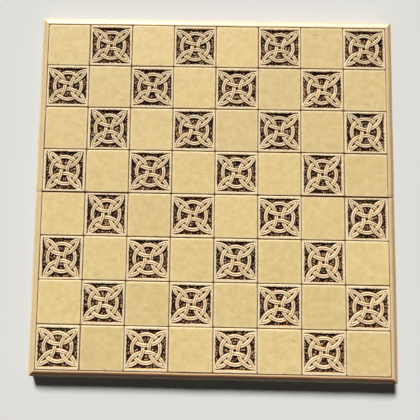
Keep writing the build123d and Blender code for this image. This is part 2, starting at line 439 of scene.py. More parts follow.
class Tree:
    """Adds and joins the nodes of one material or node group."""

    def __init__(self, tree: NodeTree) -> None:
        """Empties the tree that the nodes go into."""
        self.tree = tree
        tree.nodes.clear()

    def node(self, kind: str, inputs: dict[int | str, object], **settings: object) -> Node:
        """Adds a node, and joins its inputs last, because a node group's come with its tree.

        Args:
            kind: Blender's name of the node type.
            inputs: For each input, by name or number, a socket to join or a plain value.
            settings: Properties of the node itself.

        Returns:
            The new node.
        """
        node = self.tree.nodes.new(kind)
        for name, value in settings.items():
            setattr(node, name, value)
        for key, value in inputs.items():
            if isinstance(value, Socket):
                self.tree.links.new(value, node.inputs[key])
            else:
                node.inputs[key].default_value = value
        return node

    def noise(self, vector: Socket, scale: object, detail: float = 3.0, roughness: float = 0.55) -> Socket:
        """Adds a noise texture and returns its value.

        Args:
            vector: Place of the pattern.
            scale: Waves to a metre, as a number or a socket.
            detail: Octaves of finer noise.
            roughness: Weight of each finer octave.

        Returns:
            The noise, between 0 and 1.
        """
        inputs = {"Vector": vector, "Scale": scale, "Detail": detail, "Roughness": roughness}
        return self.node("ShaderNodeTexNoise", inputs).outputs[0]

    def math(self, operation: str, *values: object) -> Socket:
        """Adds a Math node on sockets or numbers and returns its value."""
        return self.node("ShaderNodeMath", dict(enumerate(values)), operation=operation).outputs[0]

    def between(
        self, value: object, low: object, high: object, new_low: float = 0.0, new_high: float = 1.0
    ) -> Socket:
        """Maps a value smoothly from one range to another.

        Args:
            value: Socket to map.
            low: Value that becomes new_low.
            high: Value that becomes new_high.
            new_low: Result at low and below.
            new_high: Result at high and above.

        Returns:
            The mapped value.
        """
        inputs = {0: value, 1: low, 2: high, 3: new_low, 4: new_high}
        return self.node("ShaderNodeMapRange", inputs, interpolation_type="SMOOTHSTEP").outputs[0]

    def mix(self, share: object, first: object, second: object, blend: str = "MIX") -> Socket:
        """Mixes two colours.

        Args:
            share: How much of the second colour shows.
            first: Colour or socket underneath.
            second: Colour or socket on top.
            blend: Way of mixing.

        Returns:
            The mixed colour.
        """
        inputs = {0: share, 6: first, 7: second}
        return self.node("ShaderNodeMix", inputs, data_type="RGBA", blend_type=blend).outputs[2]

    def stretched(self, vector: Socket, x: float, y: float, z: float) -> Socket:
        """Scales a place by x, y and z, so that a pattern on it is drawn out."""
        inputs = {"Vector": vector, "Scale": (x, y, z)}
        return self.node("ShaderNodeMapping", inputs).outputs[0]

    def carried(self, value: Value) -> Node:
        """Adds the node that reads a value the mesh carries."""
        return self.node("ShaderNodeAttribute", {}, attribute_name=value.value)

    def bumped(self, height: Socket, distance: float, strength: float = 1.0) -> Socket:
        """Adds a Bump node and returns its normal."""
        inputs = {"Height": height, "Distance": distance, "Strength": strength}
        return self.node("ShaderNodeBump", inputs).outputs[0]

    def group(self, tree: NodeTree, inputs: dict[int | str, object]) -> Node:
        """Places a shared effect with its own values."""
        return self.node("ShaderNodeGroup", inputs, node_tree=tree)


VALUE = "NodeSocketFloat"
COLOUR = "NodeSocketColor"
VECTOR = "NodeSocketVector"

Sockets = dict[str, Socket]


class Effects:
    """Surface effects that more than one finish uses, each a node group built once.

    The scales are waves or cells to a metre. Each pair is the range of a pattern's value over
    which it sets in.
    """

    narrow_to_wide = 7.0
    wide_share = 0.65
    cloud_range = (0.36, 0.64)
    spot_scale = 900.0
    spot_range = (0.02, 0.3)
    thin_range = (0.04, 0.4)
    brown_range = (0.35, 0.7)
    deep_range = (0.6, 0.92)
    rubbed_patch_scale = 260.0
    rubbed_patch_range = (0.3, 0.62)
    least_rubbed = 0.35
    fleck_scale = 420.0
    fleck_range = (0.66, 0.76)
    rub_range = (0.64, 0.78)
    rub_stretch = (60, 330, 60)
    rub_turn = (0, 0, 0.7)
    rub_field_scale = 55.0
    rub_field_range = (0.5, 0.62)
    pinhole_to_grain = 0.4
    pinhole_range = (0.05, 0.16)
    line_stretch = 0.04
    tarnish_range = (0.42, 0.66)
    fibre_twist = 2.5
    fibre_range = (0.0, 0.35)
    clump_to_fibre = 0.15

    def __init__(self) -> None:
        """Builds every effect."""
        self.mottle = self._mottle()
        self.stain = self._stain()
        self.wear = self._wear()
        self.marks = self._marks()
        self.grain = self._grain()
        self.drawn = self._drawn()
        self.fibre = self._fibre()

    @staticmethod
    def _open(name: str, inputs: dict[str, str], outputs: dict[str, str]) -> tuple[Tree, Sockets, Node]:
        """Starts a node group with named sockets.

        Args:
            name: Name of the effect.
            inputs: Name and kind of each input.
            outputs: Name and kind of each output.

        Returns:
            The tree, the sockets that give its inputs and the node that takes its outputs.
        """
        group = bpy.data.node_groups.new(name, "ShaderNodeTree")
        for in_out, sockets in (("INPUT", inputs), ("OUTPUT", outputs)):
            for socket, kind in sockets.items():
                group.interface.new_socket(socket, in_out=in_out, socket_type=kind)
        tree = Tree(group)
        given = tree.node("NodeGroupInput", {}).outputs
        return tree, {socket: given[socket] for socket in inputs}, tree.node("NodeGroupOutput", {})

    @staticmethod
    def _close(tree: Tree, result: Node, values: Sockets) -> NodeTree:
        """Joins an effect's results to its outputs.

        Args:
            tree: Tree of the effect.
            result: Node that takes its outputs.
            values: Socket for each output.

        Returns:
            The finished node group.
        """
        for name, value in values.items():
            tree.tree.links.new(value, result.inputs[name])
        return tree.tree

    def _mottle(self) -> NodeTree:
        """Cloudy colour of cast stone, from wide and narrow noise.

        Returns:
            The effect.
        """
        tree, given, result = self._open(
            "cast_mottle",
            {"Place": VECTOR, "Colour": COLOUR, "Cloud colour": COLOUR, "Cloud scale": VALUE,
             "Amount": VALUE},
            {"Colour": COLOUR, "Cloud": VALUE},
        )
        wide = tree.noise(given["Place"], given["Cloud scale"], 4.0, 0.6)
        narrow_scale = tree.math("MULTIPLY", given["Cloud scale"], self.narrow_to_wide)
        narrow = tree.noise(given["Place"], narrow_scale, 3.0)
        cloud = tree.math("MULTIPLY", wide, self.wide_share)
        cloud = tree.math("MULTIPLY_ADD", narrow, 1 - self.wide_share, cloud)
        cloud = tree.between(cloud, *self.cloud_range)
        share = tree.math("MULTIPLY", cloud, given["Amount"])
        colour = tree.mix(share, given["Colour"], given["Cloud colour"])
        return self._close(tree, result, {"Colour": colour, "Cloud": cloud})

    def _stain(self) -> NodeTree:
        """Brown stain that lies in the hollows, with painted shade where laid: thin, then brown, then nearly
        black.

        Returns:
            The effect.
        """
        tree, given, result = self._open(
            "hollow_stain",
            {"Place": VECTOR, "Colour": COLOUR, "Hollow": VALUE, "Thin": COLOUR, "Brown": COLOUR,
             "Deep": COLOUR, "Break up": VALUE},
            {"Colour": COLOUR, "Mask": VALUE},
        )
        spots = tree.noise(given["Place"], self.spot_scale, 3.0, 0.6)
        shift = tree.math("MULTIPLY", tree.math("SUBTRACT", spots, 0.5), given["Break up"])
        shift = tree.math("MULTIPLY", shift, tree.between(given["Hollow"], *self.spot_range))
        mask = tree.math("ADD", given["Hollow"], shift)
        thin = tree.mix(tree.between(mask, *self.thin_range), given["Colour"], given["Thin"])
        brown = tree.mix(tree.between(mask, *self.brown_range), thin, given["Brown"])
        deep = tree.mix(tree.between(mask, *self.deep_range), brown, given["Deep"])
        return self._close(tree, result, {"Colour": deep, "Mask": mask})

    def _wear(self) -> NodeTree:
        """Paler colour where hands have rubbed the crests and edges, and painted highlight where laid.

        Returns:
            The effect.
        """
        tree, given, result = self._open(
            "crest_wear_and_highlight",
            {"Place": VECTOR, "Colour": COLOUR, "Crest": VALUE, "Pale": COLOUR, "Amount": VALUE},
            {"Colour": COLOUR},
        )
        patches = tree.noise(given["Place"], self.rubbed_patch_scale, 4.0, 0.6)
        patches = tree.between(patches, *self.rubbed_patch_range, self.least_rubbed, 1.0)
        mask = tree.math("MULTIPLY", tree.math("MULTIPLY", given["Crest"], patches), given["Amount"])
        return self._close(tree, result, {"Colour": tree.mix(mask, given["Colour"], given["Pale"])})

    def _marks(self) -> NodeTree:
        """Faint flecks and short rubbed strokes, sparse and a little darker than the stone.

        Returns:
            The effect.
        """
        tree, given, result = self._open(
            "flecks_and_rubs",
            {"Place": VECTOR, "Colour": COLOUR, "Mark colour": COLOUR, "Amount": VALUE},
            {"Colour": COLOUR},
        )
        flecks = tree.noise(given["Place"], self.fleck_scale, 2.0)
        flecks = tree.between(flecks, *self.fleck_range)
        drawn_out = {"Vector": given["Place"], "Rotation": self.rub_turn, "Scale": self.rub_stretch}
        slant = tree.node("ShaderNodeMapping", drawn_out).outputs[0]
        rubs = tree.between(tree.noise(slant, 1.0, 3.0, 0.5), *self.rub_range)
        rub_field = tree.noise(given["Place"], self.rub_field_scale, 2.0)
        rubs = tree.math("MULTIPLY", rubs, tree.between(rub_field, *self.rub_field_range))
        mask = tree.math("MULTIPLY", tree.math("MAXIMUM", flecks, rubs), given["Amount"])
        colour = tree.mix(mask, given["Colour"], given["Mark colour"])
        return self._close(tree, result, {"Colour": colour})

    def _grain(self) -> NodeTree:
        """Height of the cast skin: fine grain with sparse pinholes.

        Returns:
            The effect.
        """
        tree, given, result = self._open(
            "cast_grain",
            {"Place": VECTOR, "Grain scale": VALUE, "Pinholes": VALUE},
            {"Height": VALUE},
        )
        fine = tree.noise(given["Place"], given["Grain scale"], 5.0, 0.62)
        cell_scale = tree.math("MULTIPLY", given["Grain scale"], self.pinhole_to_grain)
        cells = tree.node("ShaderNodeTexVoronoi", {"Vector": given["Place"], "Scale": cell_scale})
        hole = tree.between(cells.outputs["Distance"], *self.pinhole_range, 1.0, 0.0)
        hole = tree.math("MULTIPLY", hole, given["Pinholes"])
        return self._close(tree, result, {"Height": tree.math("SUBTRACT", fine, hole)})

    def _drawn(self) -> NodeTree:
        """Lines of drawn metal along X, with clouds of tarnish.

        Returns:
            The effect.
        """
        tree, given, result = self._open(
            "drawn_metal",
            {"Place": VECTOR, "Line scale": VALUE, "Tarnish scale": VALUE},
            {"Line": VALUE, "Tarnish": VALUE},
        )
        drawn_out = tree.stretched(given["Place"], self.line_stretch, 1.0, 1.0)
        line = tree.noise(drawn_out, given["Line scale"], 4.0, 0.7)
        clouds = tree.noise(given["Place"], given["Tarnish scale"], 5.0, 0.65)
        return self._close(tree, result, {"Line": line, "Tarnish": tree.between(clouds, *self.tarnish_range)})

    def _fibre(self) -> NodeTree:
        """Matted wool: short fibres that lie every way, as ridges of twisted noise.

        Returns:
            The effect.
        """
        tree, given, result = self._open(
            "felt_fibre",
            {"Place": VECTOR, "Fibre scale": VALUE},
            {"Fibre": VALUE, "Clump": VALUE},
        )
        twisted = {"Vector": given["Place"], "Scale": given["Fibre scale"], "Distortion": self.fibre_twist}
        warp = tree.node("ShaderNodeTexNoise", twisted).outputs[0]
        ridge = tree.math("ABSOLUTE", tree.math("MULTIPLY_ADD", warp, 2.0, -1.0))
        fibre = tree.between(ridge, *self.fibre_range, 1.0, 0.0)
        clump_scale = tree.math("MULTIPLY", given["Fibre scale"], self.clump_to_fibre)
        clump = tree.noise(given["Place"], clump_scale, 3.0)
        return self._close(tree, result, {"Fibre": fibre, "Clump": clump})


# Finishes


def new_material(name: str) -> Tree:
    """Starts a material.

    Args:
        name: Name of the material.

    Returns:
        Its empty node tree.
    """
    material = bpy.data.materials.new(name)
    material.use_nodes = True
    return Tree(material.node_tree)


def close_material(
    tree: Tree, name: str, inputs: dict[int | str, object], kind: str = "ShaderNodeBsdfPrincipled"
) -> Material:
    """Adds a material's shader and joins it to the output.

    Args:
        tree: The material's node tree.
        name: Name of the material.
        inputs: The shader's inputs.
        kind: The shader's node type.

    Returns:
        The material.
    """
    shader = tree.node(kind, inputs)
    tree.node("ShaderNodeOutputMaterial", {"Surface": shader.outputs[0]})
    return bpy.data.materials[name]


def object_place(tree: Tree) -> Socket:
    """Place in the piece's own coordinates."""
    return tree.node("ShaderNodeTexCoord", {}).outputs["Object"]


@dataclass(frozen=True)
class CastStone:
    """Waxed cast stone, washed brown in its hollows and rubbed pale on its crests.

    Attributes:
        name: Name of the material.
        body: Colour of the stone.
        cloud: Colour of its clouds.
        cloud_amount: How strongly the clouds show.
        cloud_scale: Clouds to a metre.
        pale: Colour of rubbed crests, and of painted highlights that the crest value carries.
        crest_amount: How far the crests are rubbed, or painted pale as highlight.
        mark_amount: How strongly flecks and rubs show.
        pinholes: Depth of the pinholes in the skin.
        break_up: How ragged the stain's edge is.
        tone_spread: How much brighter the palest batch is than the darkest.
        roughness: Roughness of the waxed skin.
        shine: Specular level of the wax.
        patina_shine: Specular level of the dry brown patina in the hollows.
        patina_range: Strengths of the wash between which that sets in.
        cloud_rough: Roughness that the clouds add.
        patina_rough: Roughness that the patina adds.
        grain_scale: Grains to a metre.
        bump: Height of the grain in metres.
        thin: Colour of the wash where it is thin.
        brown: Colour of the wash.
        deep: Colour of the wash where it has pooled.
        mark: Colour of flecks and rubs.
    """

    name: str
    body: Colour
    cloud: Colour
    cloud_amount: float = 0.6
    cloud_scale: float = 75.0
    pale: Colour = paint(244, 233, 200)
    crest_amount: float = 0.7
    mark_amount: float = 0.35
    pinholes: float = 0.5
    break_up: float = 0.4
    tone_spread: float = 0.085
    roughness: float = 0.42
    shine: float = 0.4
    patina_shine: float = 0.08
    patina_range: tuple[float, float] = (0.3, 0.85)
    cloud_rough: float = 0.1
    patina_rough: float = 0.25
    grain_scale: float = 1500.0
    bump: float = 0.06 * MM
    thin: Colour = paint(200, 154, 102)
    brown: Colour = paint(130, 82, 64)
    deep: Colour = paint(20, 7, 6)
    mark: Colour = paint(168, 130, 82)

    def build(self, effects: Effects) -> Material:
        """Builds the material.

        Args:
            effects: The shared effects.

        Returns:
            The material.
        """
        tree = new_material(self.name)
        batch = tree.carried(Value.BATCH).outputs["Vector"]
        added = tree.node("ShaderNodeVectorMath", {0: object_place(tree), 1: batch}, operation="ADD")
        place = added.outputs[0]
        clouds = tree.group(effects.mottle, {
            "Place": place, "Colour": self.body, "Cloud colour": self.cloud,
            "Cloud scale": self.cloud_scale, "Amount": self.cloud_amount,
        })
        tone = tree.carried(Value.TONE).outputs["Fac"]
        tone = tree.between(tone, 0.0, 1.0, 1 - self.tone_spread, 1.0)
        marks = tree.group(effects.marks, {
            "Place": place, "Colour": tree.mix(1.0, clouds.outputs["Colour"], tone, "MULTIPLY"),
            "Mark colour": self.mark, "Amount": self.mark_amount,
        })
        worn = tree.group(effects.wear, {
            "Place": place, "Colour": marks.outputs["Colour"],
            "Crest": tree.carried(Value.CREST_AND_HIGHLIGHT).outputs["Fac"],
            "Pale": self.pale, "Amount": self.crest_amount,
        })
        washed = tree.group(effects.stain, {
            "Place": place, "Colour": worn.outputs["Colour"],
            "Hollow": tree.carried(Value.STAIN_AND_SHADE).outputs["Fac"],
            "Thin": self.thin, "Brown": self.brown, "Deep": self.deep, "Break up": self.break_up,
        })
        mask = washed.outputs["Mask"]
        grain = tree.group(effects.grain, {
            "Place": place, "Grain scale": self.grain_scale, "Pinholes": self.pinholes,
        })
        rough = tree.math("MULTIPLY_ADD", clouds.outputs["Cloud"], self.cloud_rough, self.roughness)
        return close_material(tree, self.name, {
            "Base Color": washed.outputs["Colour"],
            "Roughness": tree.math("MULTIPLY_ADD", mask, self.patina_rough, rough),
            "Specular IOR Level": tree.between(mask, *self.patina_range, self.shine, self.patina_shine),
            "Normal": tree.bumped(grain.outputs["Height"], self.bump),
        })


@dataclass(frozen=True)
class Mortar:
    """Brown stained bedding with sandy grit."""

    name: str = "brown_bedding"
    body: Colour = paint(160, 110, 68)
    dark: Colour = paint(104, 64, 38)
    cloud_scale: float = 260.0
    cloud_amount: float = 0.9
    grain_scale: float = 1100.0
    pinholes: float = 1.0
    roughness: tuple[float, float] = (0.75, 0.95)
    bump: float = 0.3 * MM

    def build(self, effects: Effects) -> Material:
        """Builds the material.

        Args:
            effects: The shared effects.

        Returns:
            The material.
        """
        tree = new_material(self.name)
        place = object_place(tree)
        clouds = tree.group(effects.mottle, {
            "Place": place, "Colour": self.body, "Cloud colour": self.dark,
            "Cloud scale": self.cloud_scale, "Amount": self.cloud_amount,
        })
        grain = tree.group(effects.grain, {
            "Place": place, "Grain scale": self.grain_scale, "Pinholes": self.pinholes,
        })
        return close_material(tree, self.name, {
            "Base Color": clouds.outputs["Colour"],
            "Roughness": tree.between(clouds.outputs["Cloud"], 0.0, 1.0, *self.roughness),
            "Normal": tree.bumped(grain.outputs["Height"], self.bump),
        })


@dataclass(frozen=True)
class Metal:
    """Drawn or turned metal with tarnish.

    Attributes:
        name: Name of the material.
        bright: Colour of clean metal.
        tarnish: Colour of tarnished metal.
        line_scale: Drawn lines to a metre.
        tarnish_share: How much of the metal the tarnish colours.
        tarnish_scale: Clouds of tarnish to a metre.
        smooth: Roughness of clean metal.
        dull: Roughness that tarnish adds, and twice what lines add.
        bump: Depth of the lines in metres.
    """

    name: str
    bright: Colour
    tarnish: Colour
    line_scale: float = 2600.0
    tarnish_share: float = 0.7
    tarnish_scale: float = 150.0
    smooth: float = 0.24
    dull: float = 0.3
    bump: float = 0.02 * MM

    def build(self, effects: Effects) -> Material:
        """Builds the material.

        Args:
            effects: The shared effects.

        Returns:
            The material.
        """
        tree = new_material(self.name)
        drawn = tree.group(effects.drawn, {
            "Place": object_place(tree), "Line scale": self.line_scale,
            "Tarnish scale": self.tarnish_scale,
        })
        share = tree.math("MULTIPLY", drawn.outputs["Tarnish"], self.tarnish_share)
        rough = tree.math("MULTIPLY_ADD", drawn.outputs["Line"], self.dull / 2, self.smooth)
        return close_material(tree, self.name, {
            "Base Color": tree.mix(share, self.bright, self.tarnish),
            "Roughness": tree.math("MULTIPLY_ADD", drawn.outputs["Tarnish"], self.dull, rough),
            "Metallic": 1.0,
            "Normal": tree.bumped(drawn.outputs["Line"], self.bump),
        })


@dataclass(frozen=True)
class Felt:
    """Pressed brown wool felt."""

    name: str = "brown_felt"
    body: Colour = paint(92, 66, 48)
    fibre: Colour = paint(132, 101, 76)
    fibre_scale: float = 1400.0
    fibre_share: float = 0.7
    clump_height: float = 0.6
    clump_range: tuple[float, float] = (0.2, 0.8)
    roughness: tuple[float, float] = (0.85, 1.0)
    sheen: float = 0.35
    bump: float = 0.4 * MM
    bump_strength: float = 0.8

    def build(self, effects: Effects) -> Material:
        """Builds the material.

        Args:
            effects: The shared effects.

        Returns:
            The material.
        """
        tree = new_material(self.name)
        wool = tree.group(effects.fibre, {"Place": object_place(tree), "Fibre scale": self.fibre_scale})
        fibre, clump = wool.outputs["Fibre"], wool.outputs["Clump"]
        height = tree.math("MULTIPLY_ADD", clump, self.clump_height, fibre)
        return close_material(tree, self.name, {
            "Base Color": tree.mix(tree.math("MULTIPLY", fibre, self.fibre_share), self.body, self.fibre),
            "Roughness": tree.between(clump, *self.clump_range, *self.roughness),
            "Sheen Weight": self.sheen,
            "Normal": tree.bumped(height, self.bump, self.bump_strength),
        })


class Finishes:
    """Every material of the board."""

    def __init__(self) -> None:
        """Builds the shared effects and, from them, the materials."""
        effects = Effects()
        # On the rim, pale and crest_amount also set the painted highlight of the far bevel.
        self.rim = CastStone(
            "waxed_rim", body=paint(228, 203, 152), cloud=paint(213, 185, 132), crest_amount=0.4,
            pale=paint(250, 246, 228), mark_amount=0.25, roughness=0.38, shine=0.5,
        ).build(effects)
        self.plain = CastStone(
            "waxed_plain_tile", body=paint(237, 211, 152), cloud=paint(216, 186, 121), crest_amount=0.45,
            cloud_amount=0.65, cloud_scale=150.0, mark_amount=0.7,
        ).build(effects)
        self.knot = CastStone(
            "stained_knot_tile", body=paint(230, 202, 146), cloud=paint(214, 183, 124), crest_amount=0.85,
            pale=paint(252, 240, 210), mark_amount=0.2, break_up=0.7, shine=0.3,
        ).build(effects)
        self.bedding = Mortar().build(effects)
        self.hinge = Metal("drawn_brass", paint(222, 184, 108), paint(112, 78, 42)).build(effects)
        self.screw = Metal(
            "turned_brass", paint(228, 192, 118), paint(120, 84, 44), line_scale=1800.0, smooth=0.2,
        ).build(effects)
        self.pin = Metal(
            "steel_wire", paint(196, 194, 188), paint(110, 102, 94), line_scale=3200.0, tarnish_share=0.4,
        ).build(effects)
        self.felt = Felt().build(effects)


# Sizes of the frame


@dataclass(frozen=True)
class Sizes:
    """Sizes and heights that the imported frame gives.

    Attributes:
        wall_x: Distance of the rim's inner wall from the middle, along X.
        wall_y: The same along Y.
        outer_x: Half the board's width.
        outer_y: Half the board's depth.
        seam_face: Distance of a half's seam face from the middle.
        underside: Height of the casting's underside.
        floor_top: Height of the casting's floor.
        rim_top: Height of the rim.
    """

    wall_x: float
    wall_y: float
    outer_x: float
    outer_y: float
    seam_face: float
    underside: float
    floor_top: float
    rim_top: float

    @classmethod
    def read(cls) -> "Sizes":
        """Reads the sizes from the boxes of the far half and its bed.

        Returns:
            The sizes.
        """
        tray_low, tray_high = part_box("far_tray")
        bed_low, bed_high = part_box("far_tile_bed")
        plan = (bed_high.x, bed_high.y, tray_high.x, tray_high.y, tray_low.y)
        return cls(*plan, underside=tray_low.z, floor_top=bed_low.z, rim_top=tray_high.z)

    @property
    def pitch(self) -> float:
        """Width of a square, near enough to tell one tile from the next."""
        return 2 * self.wall_x / SQUARES_PER_SIDE


@dataclass(frozen=True)
class TilePlace:
    """Where a tile lies: its middle, half its width, its base and its top."""

    x: float
    y: float
    half: float
    base: float
    top: float

    @classmethod
    def within(cls, low: Array, high: Array) -> "TilePlace":
        """Place of the tile that fills a box."""
        middle = (low + high) / 2
        return cls(middle[0], middle[1], (high[0] - low[0]) / 2, low[2], high[2])


def is_knot(file: int, rank: int) -> bool:
    """True for the squares that carry a knot."""
    return (file + rank) % 2 == 0


def body_of_rank(rank: int) -> Body:
    """The half of the board that a rank lies on."""
    return Body.NEAR if rank < SQUARES_PER_SIDE // 2 else Body.FAR


# Tiles


@dataclass
class TileShape:
    """What plain and knot tiles have in common.

    Attributes:
        edge_radius: Rounding of the upper edges.
        edge_steps: Facets of that rounding.
        corner_radius: Rounding of the corners in plan.
        outline_play: How far the outline wanders inwards.
        outline_wave: Length of that wander.
        settle: Most that a tile lies under its full height.
        tilt: Most that a tile leans, as rise over run.
        edge_stain: Stain at the foot of the rounded edge.
        stain_falls: Shares of the edge's fall between which that stain sets in.
        crest_falls: Shares of the edge's fall between which the crest ends.
        side_stain: Stain of the sides below it.
        side_top: Distance from the rounded edge down to where the sides have that stain.
        seam_shade_strength: Painted shade of the seam's gap, laid on the edge along the seam on the two files
            at either side.
        seam_reach: Width of that shade.
        seam_from: Squares from the board's middle between which that shade sets in.
        batch_reach: How far apart the patterns of two tiles may be taken.
    """

    edge_radius: float = 0.9 * MM
    edge_steps: int = 5
    corner_radius: float = 1.3 * MM
    outline_play: float = 0.12 * MM
    outline_wave: float = 21 * MM
    settle: float = 0.12 * MM
    tilt: float = 0.003
    edge_stain: float = 0.32
    stain_falls: tuple[float, float] = (0.25, 1.0)
    crest_falls: tuple[float, float] = (0.0, 0.5)
    side_stain: float = 0.32
    side_top: float = 0.25 * MM
    seam_shade_strength: float = 0.78
    seam_reach: float = 1.0 * MM
    seam_from: tuple[float, float] = (1.8, 2.2)
    batch_reach: float = 40.0

    def lines(self, half: float, insets: Array, pitch: float) -> Array:
        """Grid lines across a tile: given ones inside both edges and even ones between.

        Args:
            half: Half the tile's width.
            insets: Distances of the given lines from an edge.
            pitch: Widest step between the even lines.

        Returns:
            The lines, from one edge to the other.
        """
        inner = half - insets[-1]
        count = math.ceil(2 * inner / pitch) + 1
        even = np.linspace(-inner, inner, count)
        return np.concatenate([insets[:-1] - half, even, (half - insets[:-1])[::-1]])

    def lie(self, x: Array, y: Array, half: float, rng: Generator) -> Array:
        """How far a hand-laid tile lies under its full height: it is settled and leans a little.

        Args:
            x: X of points about the tile's middle.
            y: Y of them.
            half: Half the tile's width.
            rng: Source of the lean.

        Returns:
            The fall at each point, below 0.
        """
        lean_x, lean_y = rng.uniform(-self.tilt, self.tilt, 2)
        settled = rng.uniform(0, self.settle)
        return lean_x * x + lean_y * y - (abs(lean_x) + abs(lean_y)) * half - settled

    def plan(self, x: Array, y: Array, half: float, rng: Generator) -> Pair:
        """Rounds a tile's corners and makes its outline uneven."""
        round_x, round_y = rounded_plan(x, y, half, half, self.corner_radius)
        return uneven_plan(round_x, round_y, half, half, self.outline_play, self.outline_wave, rng)

    def edge_values(self, inward: Array) -> Pair:
        """Stain and crest of the rounded edge.

        Args:
            inward: Distance of the points in from the outline.

        Returns:
            Stain, which grows as the edge falls, and crest, which is 1 at the edge's brow.
        """
        fallen = -rounded_drop(inward, self.edge_radius) / self.edge_radius
        stain = self.edge_stain * smooth_step(*self.stain_falls, fallen)
        near_edge = 1 - smooth_step(self.edge_radius, 3 * self.edge_radius, inward)
        return stain, near_edge * (1 - smooth_step(*self.crest_falls, fallen))

    def painted_seam_shade(self, x: Array, y: Array, place: TilePlace) -> Array:
        """Painted shade of the seam's gap, which only the files near the board's two sides have.

        Args:
            x: X of points about the tile's middle; not used.
            y: Y of them.
            place: Place of the tile.

        Returns:
            The painted shade at each point.
        """
        outer = smooth_step(*self.seam_from, abs(place.x) / (2 * place.half))
        seam_side = place.half + y * math.copysign(1, place.y)
        beside_seam = abs(place.y) < 2 * place.half
        return beside_seam * outer * self.seam_shade_strength * (1 - smooth_step(0, self.seam_reach, seam_side))

    def batch(self, rng: Generator) -> Array:
        """A chance place for a tile's pattern."""
        return rng.uniform(0, self.batch_reach, 3)

    def skirt(self, place: TilePlace) -> list[tuple[float, float]]:
        """Insets and heights of a tile's sides, from just under the rounded edge to the base."""
        return [(0.0, place.top - self.edge_radius - self.settle - self.side_top), (0.0, place.base)]


@dataclass
class PlainTiles:
    """Plain tiles, one piece to a rank.

    Attributes:
        shape: What they share with the knot tiles.
        grid_pitch: Widest step of a tile's grid.
        swell: How far a tile's top dips.
        swell_wave: Length of those dips.
        chips: Chips along a tile's edges.
        chip_depth: Least and greatest depth of a chip.
        chip_reach: Least and greatest width of a chip.
        chip_stain: Stain of the deepest chip.
    """

    sizes: Sizes
    finish: Material
    shape: TileShape = field(default_factory=TileShape)
    grid_pitch: float = 0.85 * MM
    swell: float = 0.07 * MM
    swell_wave: float = 17 * MM
    chips: int = 7
    chip_depth: tuple[float, float] = (0.08 * MM, 0.38 * MM)
    chip_reach: tuple[float, float] = (0.5 * MM, 1.3 * MM)
    chip_stain: float = 0.3
    sharp_degrees: float = 50.0
    seed: int = 4100

    def places(self, rank: int) -> list[TilePlace]:
        """Places of a rank's plain tiles, each box taken from the points nearest to its square.

        Args:
            rank: Number of the rank, from 0 at the near side.

        Returns:
            The places, from left to right.
        """
        points = node_points(self.node(rank))
        files = np.array([file for file in range(SQUARES_PER_SIDE) if not is_knot(file, rank)])
        middles = (files - (SQUARES_PER_SIDE - 1) / 2) * self.sizes.pitch
        nearest = np.abs(points[:, :1] - middles).argmin(1)
        groups = [points[nearest == number] for number in range(len(files))]
        return [TilePlace.within(group.min(0), group.max(0)) for group in groups]

    @staticmethod
    def node(rank: int) -> str:
        """Name of a rank's node."""
        return f"plain_tiles_rank_{rank + 1}"

    def chipped(self, x: Array, y: Array, half: float, rng: Generator) -> Array:
        """Depth of the chips along a tile's edges.

        Each chip is a bell-shaped dent centred on a random spot of the outline, and the deepest one
        counts.

        Args:
            x: X of points about the tile's middle.
            y: Y of them.
            half: Half the tile's width.
            rng: Source of the chips.

        Returns:
            The depth at each point.
        """
        along = rng.uniform(-half, half, self.chips)
        side = rng.integers(0, 4, self.chips)
        end = np.full(self.chips, half)
        spot_x = np.choose(side, [along, end, along, -end])
        spot_y = np.choose(side, [end, along, -end, along])
        deep = rng.uniform(*self.chip_depth, self.chips)
        reach = rng.uniform(*self.chip_reach, self.chips)
        away = (x[..., None] - spot_x) ** 2 + (y[..., None] - spot_y) ** 2
        return (deep * np.exp(-away / reach**2)).max(-1)

    def tile(self, place: TilePlace, rng: Generator) -> Shell:
        """One tile: a slab with rounded uneven edges whose top swells and dips a little.

        Args:
            place: Place of the tile.
            rng: Source of its chances.

        Returns:
            The tile, in its place.
        """
        shape = self.shape
        lines = shape.lines(place.half, rounded_steps(shape.edge_radius, shape.edge_steps), self.grid_pitch)
        x, y = np.meshgrid(lines, lines)
        inward = place.half - np.maximum(np.abs(x), np.abs(y))
        chip = self.chipped(x, y, place.half, rng)
        swell = self.swell * (ripple(x, y, self.swell_wave, rng) - 1) / 2
        z = rounded_drop(inward, shape.edge_radius) + swell + shape.lie(x, y, place.half, rng) - chip
        stain, crest = shape.edge_values(inward)
        stain = np.clip(stain + chip / self.chip_depth[1] * self.chip_stain, 0, 1)
        # Painted shade of the seam's gap on the tiles beside it.
        stain = np.maximum(stain, shape.painted_seam_shade(x, y, place))
        moved_x, moved_y = shape.plan(x, y, place.half, rng)
        tile = slab(moved_x, moved_y, z + place.top, grid_faces(lines, lines), shape.skirt(place))
        tile.coated(stain, crest, (shape.side_stain, 0.0), rng.uniform(), shape.batch(rng))
        return tile.moved(place.x, place.y, 0)

    def build(self) -> None:
        """Builds the eight ranks."""
        for rank in range(SQUARES_PER_SIDE):
            rng = np.random.default_rng(self.seed + rank)
            shells = [self.tile(place, rng) for place in self.places(rank)]
            piece = make_piece(f"plain_tiles_{rank + 1}", shells, self.sharp_degrees)
            add_piece(piece, self.finish, body_of_rank(rank), self.node(rank))


